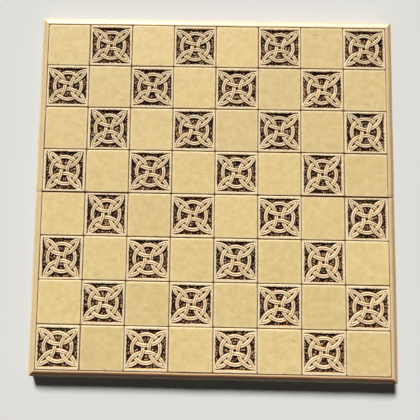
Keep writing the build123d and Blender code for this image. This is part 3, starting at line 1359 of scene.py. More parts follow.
@dataclass(frozen=True)
class Bow:
    """A circle whose arc bows in towards the middle of a knot.

    Attributes:
        radius: Radius of the circle.
        middle: Distance of its middle from the knot's middle.
    """

    radius: float
    middle: float

    @classmethod
    def through(cls, waist: float, chord: float, away: float) -> "Bow":
        """Bow that comes as near as the waist and ends half a chord to each side.

        Args:
            waist: Distance of the arc's nearest point from the knot's middle.
            chord: Half the distance between the arc's ends.
            away: Distance of that chord from the knot's middle.

        Returns:
            The bow.
        """
        rise = away - waist
        radius = (chord**2 + rise**2) / (2 * rise)
        return cls(radius, waist + radius)

    def on_ring(self, ring_radius: float) -> tuple[float, float]:
        """Where a ring about the knot's middle crosses the arc.

        Args:
            ring_radius: Radius of the ring.

        Returns:
            Distance of the crossing from the knot's middle towards the circle's, and to the side.
        """
        square = ring_radius**2 + self.middle**2 - self.radius**2
        towards = square / (2 * self.middle)
        return towards, math.sqrt(ring_radius**2 - towards**2)


@dataclass
class Interlace:
    """The knot: a ring woven with one closed strand of four bowed arcs that meet in points.

    Attributes:
        tip_along: Distance of the strand's four points from the middle, along its longer way.
        tip_across: Their distance from the middle the other way.
        waist_half: Distance of the arcs' nearest points from the middle.
        ring_radius: Radius of the ring's middle line.
        half_width: Half the width of a band at its shoulders.
        foot_spread: How much further the band's foot reaches.
        groove: Depth of the groove between a band's two ridges.
        groove_stain: Stain at the bottom of the groove.
        groove_sides: Shares of the way from its middle to a ridge between which that stain ends.
        stain_depths: Shares of a band's height under its top between which stain sets in.
        crest_depths: The same, between which the crest ends.
        shoulder: How far a band's outer flank rounds down before its wall.
        over: Rise of the upper band at a crossing.
        under: Sink of the lower band there.
        level: Distance from a crossing within which a band stays risen or sunk.
        reach: Distance from a crossing where it is back at its own height.
        sunk_foot: How far the bands' feet reach into the floor.
    """

    tip_along: float = 18.5 * MM
    tip_across: float = 16.8 * MM
    waist_half: float = 3.25 * MM
    ring_radius: float = 14.3 * MM
    half_width: float = 1.9 * MM
    foot_spread: float = 0.12 * MM
    groove: float = 0.62 * MM
    groove_stain: float = 0.44
    groove_sides: tuple[float, float] = (0.15, 0.85)
    stain_depths: tuple[float, float] = (0.2, 1.0)
    crest_depths: tuple[float, float] = (0.0, 0.35)
    shoulder: float = 1.15 * MM
    over: float = 0.12 * MM
    under: float = 0.85 * MM
    level: float = 1.9 * MM
    reach: float = 4.4 * MM
    sunk_foot: float = 0.3 * MM
    ridge_steps: int = 4
    arc_steps: int = 56
    ring_steps: int = 112

    def __post_init__(self) -> None:
        """Works out the arcs' circles and the crossings from the driving sizes."""
        self.far = Bow.through(self.waist_half, self.tip_along, self.tip_across)
        self.side = Bow.through(self.waist_half, self.tip_across, self.tip_along)
        self.meet_x, self.meet_y = (float(part) for part in self.crossing(np.array(0.0), -1))
        self.far_ring_y, self.far_ring_x = self.far.on_ring(self.ring_radius)
        self.side_ring_x, self.side_ring_y = self.side.on_ring(self.ring_radius)

    def crossing(self, across: Array, side: int) -> Pair:
        """Where lines beside the far and the right arc cross.

        Two circles cross at equal distances to both sides of the line between their middles.

        Args:
            across: Distance of both lines outwards from their arcs.
            side: 1 for the crossing at the tip and -1 for that near the waist.

        Returns:
            X and Y of the crossing.
        """
        far_radius, side_radius = self.far.radius + across, self.side.radius + across
        apart = math.hypot(self.far.middle, self.side.middle)
        share_x, share_y = self.side.middle / apart, self.far.middle / apart
        along = (far_radius**2 - side_radius**2 + apart**2) / (2 * apart)
        out = side * np.sqrt(far_radius**2 - along**2)
        return along * share_x + out * share_y, self.far.middle - along * share_y + out * share_x

    def from_bands(self, x: Array, y: Array) -> Array:
        """Distance of places from the nearest edge of a band.

        It is the least distance from the ring's and the arcs' middle lines, less half a band.

        Args:
            x: X of places about the knot's middle.
            y: Y of them.

        Returns:
            The distances, below 0 under the bands.
        """
        ring = np.hypot(x, y) - self.ring_radius
        far = np.hypot(x, np.abs(y) - self.far.middle) - self.far.radius
        side = np.hypot(np.abs(x) - self.side.middle, y) - self.side.radius
        return np.min(np.abs([ring, far, side]), axis=0) - self.half_width

    def section(self) -> Triple:
        """Cross-section of a band with two ridges, from one foot over the top to the other.

        Each ridge stands a quarter of the band's width from its middle. On the outer side it falls
        by the shoulder, as a quarter of an ellipse. On the inner side it falls by the groove's
        depth, as a parabola. A nearly upright wall joins it to the foot.

        Returns:
            Distance from the middle line, height under the ridge tops, and the height's share in
            the walls, which is 0 for points of the top and 1 for the feet.
        """
        turn = np.linspace(0, math.pi, 2 * self.ridge_steps + 1)
        ridge = self.half_width / 2
        across = ridge + ridge * np.cos(turn)
        outer, inner = self.shoulder * (np.sin(turn) - 1), -self.groove * np.cos(turn) ** 2
        fall = np.where(turn < math.pi / 2, outer, inner)
        foot = self.half_width + self.foot_spread
        across = np.concatenate([[-foot], -across, across[-2::-1], [foot]])
        fall = np.concatenate([[0], fall, fall[-2::-1], [0]])
        wall = np.concatenate([[1], np.zeros(len(across) - 2), [1]])
        return across, fall, wall

    def _near(self, x: Array, y: Array, spots: list[tuple[float, float]]) -> Array:
        """1 close to any of the spots, 0 away from them, and a smooth slope between."""
        away = np.min([np.hypot(x - spot_x, y - spot_y) for spot_x, spot_y in spots], axis=0)
        return 1 - smooth_step(self.level, self.reach, away)

    def _weave(
        self, x: Array, y: Array, over: list[tuple[float, float]], under: list[tuple[float, float]]
    ) -> Array:
        """Rise of a band at a place, from the crossings where it passes over and under."""
        return self.over * self._near(x, y, over) - self.under * self._near(x, y, under)

    def _band(self, x: Array, y: Array, lift: Array, top: float, floor: float) -> Triple:
        """Points, stain and crest of a band from its plan and its lift.

        Args:
            x: X of its points, one row for each cross-section.
            y: Y of its points.
            lift: Rise of its points over the plain band.
            top: Height of the ridges.
            floor: Height of the pocket's floor.

        Returns:
            The points, their stain and their crest.
        """
        across, fall, wall = self.section()
        z = np.where(wall > 0, floor - self.sunk_foot, top + fall + lift)
        depth = (top - z) / (top - floor)
        in_groove = 1 - smooth_step(*self.groove_sides, np.abs(across) / (self.half_width / 2))
        stain = np.maximum(smooth_step(*self.stain_depths, depth), self.groove_stain * in_groove)
        on_top = np.where(wall > 0, 0, 1 + fall / self.shoulder)
        crest = (1 - smooth_step(*self.crest_depths, depth)) * on_top
        points = np.stack([x, y, z], -1).reshape(-1, 3)
        return points, np.broadcast_to(stain, z.shape).ravel(), np.clip(crest, 0, 1).ravel()

    def arc(self, bow: Bow, chord: Array, away: Array) -> Pair:
        """Lines of one arc's band, from one mitre over the waist to the other.

        Args:
            bow: Circle of the arc's middle line.
            chord: Half the distance between the mitres, for each line across the band.
            away: Distance of the mitres from the knot's middle, for each line.

        Returns:
            Distance to the side and distance from the knot's middle.
        """
        across, _, _ = self.section()
        radius = bow.radius + across
        reach = np.arctan2(chord, bow.middle - away)
        share = np.linspace(-1, 1, self.arc_steps, endpoint=False)[:, None]
        return radius * np.sin(reach * share), bow.middle - radius * np.cos(reach * share)

    def strand(self, top: float, floor: float) -> Triple:
        """Points, stain and crest of the closed strand.

        A line of the strand at a given distance from the middle line is an arc about a middle
        outside the tile. It ends where the same line of the next arc crosses it, so arcs meet in
        mitres. The near and the left arc are the far and the right one turned half round.

        Args:
            top: Height of the ridges.
            floor: Height of the pocket's floor.

        Returns:
            The points, their stain and their crest.
        """
        tip_x, tip_y = self.crossing(self.section()[0], 1)
        far_x, far_y = self.arc(self.far, tip_x, tip_y)
        side_y, side_x = self.arc(self.side, tip_y, tip_x)
        side_y = -side_y
        far_lift = self._weave(
            far_x, far_y,
            over=[(-self.meet_x, self.meet_y), (self.far_ring_x, self.far_ring_y)],
            under=[(self.meet_x, self.meet_y), (-self.far_ring_x, self.far_ring_y)],
        )
        side_lift = self._weave(
            side_x, side_y,
            over=[(self.meet_x, self.meet_y), (self.side_ring_x, -self.side_ring_y)],
            under=[(self.meet_x, -self.meet_y), (self.side_ring_x, self.side_ring_y)],
        )
        x = np.concatenate([far_x, side_x, -far_x, -side_x])
        y = np.concatenate([far_y, side_y, -far_y, -side_y])
        return self._band(x, y, np.concatenate([far_lift, side_lift] * 2), top, floor)

    def ring(self, top: float, floor: float) -> Triple:
        """Points, stain and crest of the ring, a circle for each line across the band.

        Args:
            top: Height of the ridges.
            floor: Height of the pocket's floor.

        Returns:
            The points, their stain and their crest.
        """
        across, _, _ = self.section()
        turn = np.linspace(math.tau, 0, self.ring_steps, endpoint=False)[:, None]
        x = (self.ring_radius - across) * np.cos(turn)
        y = (self.ring_radius - across) * np.sin(turn)
        over = [(-self.far_ring_x, self.far_ring_y), (self.side_ring_x, self.side_ring_y)]
        under = [(self.far_ring_x, self.far_ring_y), (self.side_ring_x, -self.side_ring_y)]
        over += [(-spot_x, -spot_y) for spot_x, spot_y in over]
        under += [(-spot_x, -spot_y) for spot_x, spot_y in under]
        return self._band(x, y, self._weave(x, y, over, under), top, floor)


@dataclass
class KnotTiles:
    """Knot tiles, one piece to a node.

    Attributes:
        shape: What they share with the plain tiles.
        turned_files: Files whose knots lie a quarter turn round, on the turned ranks.
        turned_ranks: Those ranks, from 0 at the near side.
        end_margin: Width of the margin at the pocket's two ends.
        side_margin: Width of the margin at its two sides.
        pocket_depth: Depth of the pocket's floor under the tile's top.
        band_below_margin: How far the bands' ridges lie under the tile's top.
        lip_crest: How far the lip is rubbed.
        wall_draft: How far the pocket's wall leans.
        wall_stain: Stain of its upper part.
        wall_falls: Shares of its height, downwards, between which the floor's stain sets in.
        lip_falls: Shares of the lip's fall between which the wall's stain sets in.
        ragged: How far the wall wanders in and out.
        ragged_wave: Length of that wander.
        floor_pitch: Widest step of the floor's grid.
        floor_stain: Stain of the floor, away from the feet of the wall and of the bands.
        grain_pitch: Distance of the floor's grains from each other.
        grain_wear: How much stain is rubbed off their tops.
        grain_tops: Shares of a grain's height between which that sets in.
        foot_reach: Distance from a foot within which the stain darkens towards near black, as pooled patina
            and painted shade.
        foot_share: Share of that distance over which the grains keep their stain.
        hand_play: How far hand cutting shifts the pocket and the bands.
        hand_reach: Distance in from the outline over which that sets in.
        hand_wave: Length of that wander.
    """

    finish: Material
    shape: TileShape = field(default_factory=TileShape)
    knot: Interlace = field(default_factory=Interlace)
    turned_files: str = "abgh"
    turned_ranks: range = range(2, 6)
    end_margin: float = 2.1 * MM
    side_margin: float = 2.65 * MM
    pocket_depth: float = 2.2 * MM
    band_below_margin: float = 0.2 * MM
    lip_radius: float = 0.35 * MM
    lip_steps: int = 3
    lip_crest: float = 0.5
    wall_draft: float = 0.35 * MM
    wall_stain: float = 0.22
    wall_falls: tuple[float, float] = (0.5, 1.0)
    lip_falls: tuple[float, float] = (0.2, 1.0)
    ragged: float = 0.3 * MM
    ragged_wave: float = 2.6 * MM
    floor_pitch: float = 0.43 * MM
    floor_stain: float = 0.92
    grain_pitch: float = 1.6 * MM
    grain_height: float = 0.6 * MM
    grain_wear: float = 0.86
    grain_tops: tuple[float, float] = (0.3, 0.8)
    foot_reach: float = 2.0 * MM
    foot_share: float = 0.6
    hand_play: float = 0.16 * MM
    hand_reach: float = 2.4 * MM
    hand_wave: float = 19 * MM
    sharp_degrees: float = 62.0
    seed: int = 7300

    @staticmethod
    def node(file: int, rank: int) -> str:
        """Name of a square's node."""
        return f"knot_tile_{FILE_LETTERS[file]}{rank + 1}"

    def is_turned(self, file: int, rank: int) -> bool:
        """True for the squares whose knot is laid a quarter turn round."""
        return FILE_LETTERS[file] in self.turned_files and rank in self.turned_ranks

    def by_hand(self, x: Array, y: Array, half: float, seed: int) -> Pair:
        """Shifts places inside the margin a little, alike for the pocket and for the bands.

        Args:
            x: X of places about the tile's middle.
            y: Y of them.
            half: Half the tile's width.
            seed: Seed of the shifts.

        Returns:
            X and Y of the shifted places.
        """
        rng = np.random.default_rng(seed)
        inward = half - np.maximum(np.abs(x), np.abs(y))
        share = self.hand_play * smooth_step(0, self.hand_reach, inward)
        shift_x, shift_y = ripple(x, y, self.hand_wave, rng), ripple(x, y, self.hand_wave, rng)
        return x + share * shift_x, y + share * shift_y

    def insets(self, margin: float) -> Array:
        """Distances in from a tile's outline of the lines at its edge, its pocket's lip and wall.

        Args:
            margin: Width of the margin.

        Returns:
            The distances, from the outline inwards.
        """
        outer = rounded_steps(self.shape.edge_radius, self.shape.edge_steps)
        lip = margin - rounded_steps(self.lip_radius, self.lip_steps)[::-1]
        return np.concatenate([outer, lip, [margin + self.wall_draft / 2, margin + self.wall_draft]])

    def body(self, place: TilePlace, turned: bool, seed: int, rng: Generator) -> Shell:
        """The tile itself: a slab with a rounded edge, a flat margin and a sunk grainy pocket.

        Wash lies in the pocket. It is thinner on its wall and on the tops of its grains, and
        nearly black at the feet of the wall and of the bands, as pooled patina and painted shade.

        Args:
            place: Place of the tile.
            turned: Whether the tile is laid a quarter turn round.
            seed: Seed of the hand's play.
            rng: Source of the tile's other chances.

        Returns:
            The tile, about its own middle.
        """
        shape, half = self.shape, place.half
        margins = [self.end_margin, self.side_margin]
        if turned:
            margins.reverse()
        lines = [shape.lines(half, self.insets(margin), self.floor_pitch) for margin in margins]
        x, y = np.meshgrid(*lines)
        inward = half - np.maximum(np.abs(x), np.abs(y))
        sunk = half - np.maximum(np.abs(x) + margins[0], np.abs(y) + margins[1])
        lip_drop = rounded_drop(-sunk, self.lip_radius)
        wall = np.clip(sunk / self.wall_draft, 0, 1)
        grains = pebbles(x, y, half, self.grain_pitch, rng)
        floor = self.grain_height * grains - self.pocket_depth + self.lip_radius
        z = rounded_drop(inward, shape.edge_radius) + lip_drop + wall * floor
        stain, crest = shape.edge_values(inward)
        from_bands = self.knot.from_bands(*((y, x) if turned else (x, y)))
        from_feet = np.minimum(from_bands, sunk - self.wall_draft)
        # Near-black at the feet of the wall and the bands: pooled patina and painted shade.
        by_feet = 1 - smooth_step(0, self.foot_reach, from_feet)
        worn = self.grain_wear * smooth_step(*self.grain_tops, grains)
        worn = worn * smooth_step(0, self.foot_share * self.foot_reach, from_feet)
        pocket_stain_and_shade = self.floor_stain + (1 - self.floor_stain) * by_feet - worn
        low_wall = smooth_step(*self.wall_falls, wall)
        in_pocket = low_wall * pocket_stain_and_shade + (1 - low_wall) * self.wall_stain
        lip_stain = self.wall_stain * smooth_step(*self.lip_falls, -lip_drop / self.lip_radius)
        stain = np.where(sunk > 0, in_pocket, np.maximum(stain, lip_stain))
        # Painted shade of the seam's gap on the tiles beside it.
        stain = np.maximum(stain, shape.painted_seam_shade(x, y, place))
        lip = 1 - smooth_step(0, 2 * self.lip_radius, np.abs(sunk + self.lip_radius))
        crest = np.maximum(crest, self.lip_crest * lip)
        plan_x, plan_y = self.by_hand(x, y, half, seed)
        plan_x, plan_y = self.ragged_wall(plan_x, plan_y, sunk, rng)
        plan_x, plan_y = shape.plan(plan_x, plan_y, half, rng)
        tile = slab(plan_x, plan_y, z + place.top, grid_faces(*lines), shape.skirt(place))
        return tile.coated(stain, crest, (shape.side_stain, 0.0), rng.uniform(), shape.batch(rng))

    def ragged_wall(self, x: Array, y: Array, sunk: Array, rng: Generator) -> Pair:
        """Pushes the pocket's lip and wall in and out along their length, as hand cutting leaves them.

        Args:
            x: X of the points.
            y: Y of the points.
            sunk: Distance of the points inwards of the lip.
            rng: Source of the waves.

        Returns:
            X and Y of the moved points.
        """
        share = self.ragged * (1 - smooth_step(0, 3 * self.wall_draft, np.abs(sunk)))
        return (
            x + share * ripple(x, y, self.ragged_wave, rng),
            y + share * ripple(x, y, self.ragged_wave, rng),
        )

    def bands(self, place: TilePlace, turned: bool, seed: int, like: Shell) -> list[Shell]:
        """The strand and the ring, in the tile's own tone.

        Args:
            place: Place of the tile.
            turned: Whether the knot is laid a quarter turn round.
            seed: Seed of the hand's play.
            like: The tile's body.

        Returns:
            Both bands, about the tile's middle.
        """
        top = place.top - self.band_below_margin
        floor = place.top - self.pocket_depth
        shells = []
        columns = len(self.knot.section()[0])
        for points, stain, crest in (self.knot.strand(top, floor), self.knot.ring(top, floor)):
            if turned:
                points = points[:, [1, 0, 2]] * np.array([-1, 1, 1])
            points[:, 0], points[:, 1] = self.by_hand(points[:, 0], points[:, 1], place.half, seed)
            band = Shell(points, [ring_faces(len(points) // columns, columns)])
            tone, batch = like.values[Value.TONE][0], like.values[Value.BATCH][0]
            shells.append(band.coated(stain, crest, (0.0, 0.0), tone, batch))
        return shells

    def build(self) -> None:
        """Builds the thirty-two knot tiles."""
        for rank, file in product(range(SQUARES_PER_SIDE), repeat=2):
            if not is_knot(file, rank):
                continue
            node = self.node(file, rank)
            low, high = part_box(node)
            place = TilePlace.within(np.array(low), np.array(high))
            seed = self.seed + SQUARES_PER_SIDE * rank + file
            rng = np.random.default_rng(seed)
            turned = self.is_turned(file, rank)
            body = self.body(place, turned, seed, rng)
            shells = [body, *self.bands(place, turned, seed, body)]
            for shell in shells:
                lean = np.random.default_rng(seed + SQUARES_PER_SIDE**2)
                x, y, z = shell.points.T
                upper = smooth_step(place.base, place.base + self.pocket_depth, z)
                shell.points[:, 2] += upper * self.shape.lie(x, y, place.half, lean)
            shells = [shell.moved(place.x, place.y, 0) for shell in shells]
            piece = make_piece(f"knot_{FILE_LETTERS[file]}{rank + 1}", shells, self.sharp_degrees)
            add_piece(piece, self.finish, body_of_rank(rank), node)


# Cast halves


@dataclass
class CastHalves:
    """The two castings: a floor with a moulded rim round three sides.

    Attributes:
        inner_radius: Rounding of the rim's inner edge.
        flat: Distance from the inner wall to where the rim starts to fall.
        shoulder_radius: Rounding between the flat and the bevel.
        bevel_degrees: Slope of the bevel.
        step: Height of the step that ends the bevel.
        step_draft: How far that step leans outwards.
        ledge: Width of the ledge at the step's foot.
        ledge_radius: Rounding of the ledge's outer edge.
        corner_radius: Rounding of the outer corners in plan.
        seam_radius: Rounding of the rim's ends at the seam.
        foot_ease: Size of the chamfer round the underside.
        play: How far the outline wanders inwards.
        dip: How far the rim's top dips along its length.
        inner_edge_stain_and_shade: Stain of the inner edge on the near, far, left and right side; the heavy
            near share is painted shade.
        far_bevel_highlight: Strength of the painted highlight on the far side's bevel, which faces the light,
            laid on as pale crest.
        far_bevel_highlight_from: Distances outwards between which that painted highlight sets in.
        near_bevel_shade: Painted shade on the near side's shoulder and bevel, which face away from the light.
        near_bevel_shade_from: Distances outwards between which that sets in.
        right_outer_shade: Painted shade on the right side's lower bevel and ledge.
        right_outer_shade_from: Distances outwards between which that sets in.
        hollow_stain: Stain of the corner over the ledge.
        hollow_share: Share of the ledge's width that it reaches.
        seam_shade_strength: Painted shade of the seam's gap on the rim's ends.
        shoulder_crest: How far the shoulder is rubbed.
        shoulder_reach: Width of that rubbing to each side.
        side_stain: Stain of the sides and the underside.
        side_crest: How far they are rubbed.
        tone: Tone of both castings.
        batch_reach: How far apart the patterns of the two castings may be taken.
        line_pitch: Widest step of the grid along a side.
        wall_step: Width of the upright inner wall.
    """

    sizes: Sizes
    finish: Material
    inner_radius: float = 0.8 * MM
    flat: float = 1.0 * MM
    shoulder_radius: float = 4.2 * MM
    bevel_degrees: float = 44.0
    step: float = 1.6 * MM
    step_draft: float = 0.3 * MM
    ledge: float = 1.8 * MM
    ledge_radius: float = 0.6 * MM
    corner_radius: float = 1.6 * MM
    seam_radius: float = 0.5 * MM
    foot_ease: float = 0.8 * MM
    play: float = 0.3 * MM
    play_wave: float = 60 * MM
    dip: float = 0.14 * MM
    dip_wave: float = 34 * MM
    inner_edge_stain_and_shade: tuple[float, float, float, float] = (0.75, 0.12, 0.45, 0.35)
    far_bevel_highlight: float = 1.6
    far_bevel_highlight_from: tuple[float, float] = (0.5 * MM, 2.0 * MM)
    near_bevel_shade: float = 0.6
    near_bevel_shade_from: tuple[float, float] = (0.6 * MM, 2.1 * MM)
    right_outer_shade: float = 0.4
    right_outer_shade_from: tuple[float, float] = (4.0 * MM, 6.0 * MM)
    hollow_stain: float = 0.12
    hollow_share: float = 0.6
    seam_shade_strength: float = 0.5
    shoulder_crest: float = 0.3
    shoulder_reach: float = 1.3 * MM
    side_stain: float = 0.12
    side_crest: float = 0.2
    tone: float = 0.5
    batch_reach: float = 9.0
    line_pitch: float = 4.0 * MM
    wall_step: float = 0.02 * MM
    shoulder_steps: int = 7
    bevel_steps: int = 3
    edge_steps: int = 4
    sharp_degrees: float = 35.0
    seed: int = 2600

    @property
    def rim_width(self) -> float:
        """Width of the rim from its inner wall outwards."""
        return self.sizes.outer_x - self.sizes.wall_x

    @property
    def bevel_end(self) -> float:
        """Distance outwards from the inner wall to the end of the bevel."""
        return self.rim_width - self.ledge - self.step_draft

    def rim_outs(self) -> Array:
        """Works out where the rim's section has its points.

        Returns:
            Their distances outwards from the inner wall.
        """
        turn = np.linspace(0, math.radians(self.bevel_degrees), self.shoulder_steps + 1)
        inner = rounded_steps(self.inner_radius, self.edge_steps)
        shoulder = self.flat + self.shoulder_radius * np.sin(turn)
        bevel = np.linspace(shoulder[-1], self.bevel_end, self.bevel_steps + 1)[1:]
        ledge_edge = self.rim_width - rounded_steps(self.ledge_radius, self.edge_steps)[::-1]
        ledge = [self.rim_width - self.ledge]
        return np.concatenate([[-self.wall_step], inner, shoulder, bevel, ledge, ledge_edge])

    def rim_height(self, out: Array) -> Array:
        """Height of the casting's upper face from the distance outwards of the inner wall.

        Inside the wall it is the floor. Outside, a rounded edge leads to a flat, a shoulder of a
        circle's arc turns down into a straight bevel, and the bevel ends in a step down to a
        ledge with a rounded edge.

        Args:
            out: Distances outwards of the inner wall.

        Returns:
            The heights.
        """
        turn = math.radians(self.bevel_degrees)
        past = np.clip(out, self.flat, self.bevel_end) - self.flat
        arc = np.clip(past, 0, self.shoulder_radius * math.sin(turn))
        fall = self.shoulder_radius - np.sqrt(self.shoulder_radius**2 - arc**2)
        fall += (past - arc) * math.tan(turn)
        fall += self.step * np.clip((out - self.bevel_end) / self.step_draft, 0, 1)
        rounding = rounded_drop(out, self.inner_radius)
        rounding = rounding + rounded_drop(self.rim_width - out, self.ledge_radius)
        return np.where(out < 0, self.sizes.floor_top, self.sizes.rim_top - fall + rounding)

    def half(self, far: bool) -> Shell:
        """One casting; the near one is laid out on the mirrored side of the seam.

        Args:
            far: Whether it is the far casting.

        Returns:
            The casting.
        """
        sizes, outs = self.sizes, self.rim_outs()
        rng = np.random.default_rng(self.seed + far)
        count = math.ceil(2 * sizes.wall_x / self.line_pitch)
        inner_x = np.linspace(-sizes.wall_x, sizes.wall_x, count)[1:-1]
        x_lines = np.concatenate([-sizes.wall_x - outs[::-1], inner_x, sizes.wall_x + outs])
        seam = sizes.seam_face + rounded_steps(self.seam_radius, self.edge_steps - 1)
        count = math.ceil(sizes.wall_y / self.line_pitch)
        inner_y = np.linspace(seam[-1], sizes.wall_y, count)[1:-1]
        y_lines = np.concatenate([seam, inner_y, sizes.wall_y + outs])
        if not far:
            y_lines = -y_lines[::-1]
        x, y = np.meshgrid(x_lines, y_lines)
        out = np.maximum(np.abs(x) - sizes.wall_x, np.abs(y) - sizes.wall_y)
        on_rim = out >= 0
        z = self.rim_height(out)
        z = z + on_rim * rounded_drop(np.abs(y) - sizes.seam_face, self.seam_radius)
        z = z - on_rim * self.dip * (1 + ripple(x, y, self.dip_wave, rng)) / 2
        outer = (sizes.outer_x, sizes.outer_y)
        plan_x, plan_y = rounded_plan(x, y, *outer, self.corner_radius)
        plan_x, plan_y = uneven_plan(plan_x, plan_y, *outer, self.play, self.play_wave, rng)
        skirt = [(0.0, sizes.underside + self.foot_ease), (self.foot_ease, sizes.underside)]
        shell = slab(plan_x, plan_y, z, grid_faces(x_lines, y_lines), skirt)
        rest, batch = (self.side_stain, self.side_crest), rng.uniform(0, self.batch_reach, 3)
        return shell.coated(*self.values(x, y, out), rest, self.tone, batch)

    def values(self, x: Array, y: Array, out: Array) -> Pair:
        """Stain and crest of the upper face.

        Wash lies on the inner wall and in the corner over the ledge, heavier on the near side's
        inner wall as painted shade. Painted shade lies at the seam, on the near side's shoulder
        and bevel and on the right side's lower bevel and ledge. The crests are the rim's two
        shoulders and the ledge's outer edge, and a painted highlight lies as crest on the far bevel.

        Args:
            x: X of the points.
            y: Y of the points.
            out: Distance outwards from the inner wall.

        Returns:
            Stain and crest.
        """
        along_y = np.abs(y) - self.sizes.wall_y > np.abs(x) - self.sizes.wall_x
        on_near, on_far, on_right = along_y & (y < 0), along_y & (y > 0), ~along_y & (x > 0)
        near, far, left, right = self.inner_edge_stain_and_shade
        # The inner edge's stain is heaviest on the near side, as painted shade.
        inner_edge_stain_and_shade = np.where(along_y, np.where(y < 0, near, far), np.where(x < 0, left, right))
        from_corner = np.abs(out - (self.rim_width - self.ledge))
        from_seam = np.abs(y) - self.sizes.seam_face
        edge = self.rim_width - self.ledge_radius
        before_step, before_corner = out < self.bevel_end, out < self.bevel_end + self.step_draft / 2
        stains = [
            inner_edge_stain_and_shade * (1 - smooth_step(0, self.inner_radius, out)),
            self.hollow_stain * (1 - smooth_step(0, self.hollow_share * self.ledge, from_corner)),
            # Painted shade of the seam's gap on the rim's ends.
            self.seam_shade_strength * (1 - smooth_step(0, self.seam_radius, from_seam)),
            # Painted shade on the near side's shoulder and bevel, and on the right side's lower bevel and
            # ledge.
            on_near * before_step * self.near_bevel_shade * smooth_step(*self.near_bevel_shade_from, out),
            on_right * self.right_outer_shade * smooth_step(*self.right_outer_shade_from, out),
        ]
        crests = [
            self.shoulder_crest * (1 - smooth_step(0, self.shoulder_reach, np.abs(out - self.flat))),
            # Painted highlight on the far bevel, which faces the light.
            on_far * before_corner * self.far_bevel_highlight * smooth_step(*self.far_bevel_highlight_from, out),
            smooth_step(edge - self.ledge_radius, edge, out),
        ]
        return np.max(stains, axis=0), np.max(crests, axis=0)

    def build(self) -> None:
        """Builds both castings."""
        for body, node, far in ((Body.NEAR, "near_tray", False), (Body.FAR, "far_tray", True)):
            piece = make_piece(f"cast_{body.value}", [self.half(far)], self.sharp_degrees)
            add_piece(piece, self.finish, body, node)


# Felt pads


@dataclass
class FeltPads:
    """Felt discs under the board, one piece of four to a half.

    Attributes:
        edge_radius: Rounding of a disc's edges.
        edge_steps: Facets of that rounding.
        around: Points round a disc.
        face_rings: Rings of points on each face.
        fuzz: How far the wool's surface wanders inwards.
        fuzz_wave: Length of that wander.
        fuzz_slant: How many times faster it runs down a side.
        rim_share: Share of the radius beyond which the fuzz acts on the side, not on the faces.
    """

    finish: Material
    edge_radius: float = 0.6 * MM
    edge_steps: int = 5
    around: int = 72
    face_rings: int = 9
    fuzz: float = 0.18 * MM
    fuzz_wave: float = 3.2 * MM
    fuzz_slant: float = 3.0
    rim_share: float = 0.8
    sharp_degrees: float = 60.0
    seed: int = 888

    def discs(self, node: str) -> list[Pair]:
        """Boxes of a node's discs, found by the quarter of the half's plan that they lie in.

        Args:
            node: Name of the node.

        Returns:
            The low and the high corner of each box.
        """
        points = node_points(node)
        low, high = points.min(0), points.max(0)
        middle = (low + high) / 2
        right, beyond = points[:, 0] > middle[0], points[:, 1] > middle[1]
        groups = [points[(right == a) & (beyond == b)] for a, b in product((False, True), repeat=2)]
        return [(group.min(0), group.max(0)) for group in groups]

    def disc(self, low: Array, high: Array, rng: Generator) -> Shell:
        """One disc, as a section turned about its own axis.

        The section runs from the middle of the underside over both rounded edges to the middle of
        the top. The fuzz draws each point in towards the disc by an uneven amount.

        Args:
            low: Lowest corner of the disc's box.
            high: Highest corner of it.
            rng: Source of the fuzz.

        Returns:
            The closed disc.
        """
        middle, radius = (low + high) / 2, (high[0] - low[0]) / 2
        edge = rounded_steps(self.edge_radius, self.edge_steps)
        drop = rounded_drop(edge, self.edge_radius)
        flat = np.linspace(0, radius - self.edge_radius, self.face_rings, endpoint=False)[1:]
        under = np.concatenate([flat, (radius - edge)[::-1]])
        under_z = np.concatenate([np.full(len(flat), low[2]), low[2] - drop[::-1]])
        section_r = np.concatenate([under, under[::-1]])
        section_z = np.concatenate([under_z, low[2] + high[2] - under_z[::-1]])
        turn = np.linspace(0, math.tau, self.around, endpoint=False)
        x = section_r[:, None] * np.cos(turn)
        y = section_r[:, None] * np.sin(turn)
        z = np.broadcast_to(section_z[:, None], x.shape)
        fuzz = self.fuzz * (1 + ripple(x, y + self.fuzz_slant * z, self.fuzz_wave, rng)) / 2
        at_rim = smooth_step(self.rim_share * radius, radius, section_r)[:, None]
        squeeze = 1 - at_rim * fuzz / radius
        height_share = (z - middle[2]) / (high[2] - middle[2])
        z = z - (1 - at_rim) * height_share * fuzz / 2
        rings = np.stack([x * squeeze, y * squeeze, z], -1).reshape(-1, 3)
        poles = np.array([[0, 0, low[2]], [0, 0, high[2]]])
        points = np.concatenate([rings, poles]) + np.array([middle[0], middle[1], 0])
        rows, columns = x.shape
        step, last = np.arange(columns), (rows - 1) * columns
        following = (step + 1) % columns
        under_fan = np.stack([np.full(columns, len(rings)), following, step], 1)
        top_fan = np.stack([np.full(columns, len(rings) + 1), last + step, last + following], 1)
        return Shell(points, [ring_faces(rows, columns, closed=False), under_fan, top_fan])

    def build(self) -> None:
        """Builds the pads of both halves."""
        for body, node in ((Body.NEAR, "near_felt_pads"), (Body.FAR, "far_felt_pads")):
            rng = np.random.default_rng(self.seed + (body is Body.NEAR))
            shells = [self.disc(low, high, rng) for low, high in self.discs(node)]
            piece = make_piece(f"felt_discs_{body.value}", shells, self.sharp_degrees)
            add_piece(piece, self.finish, body, node)


# Pieces that stay as the frame has them


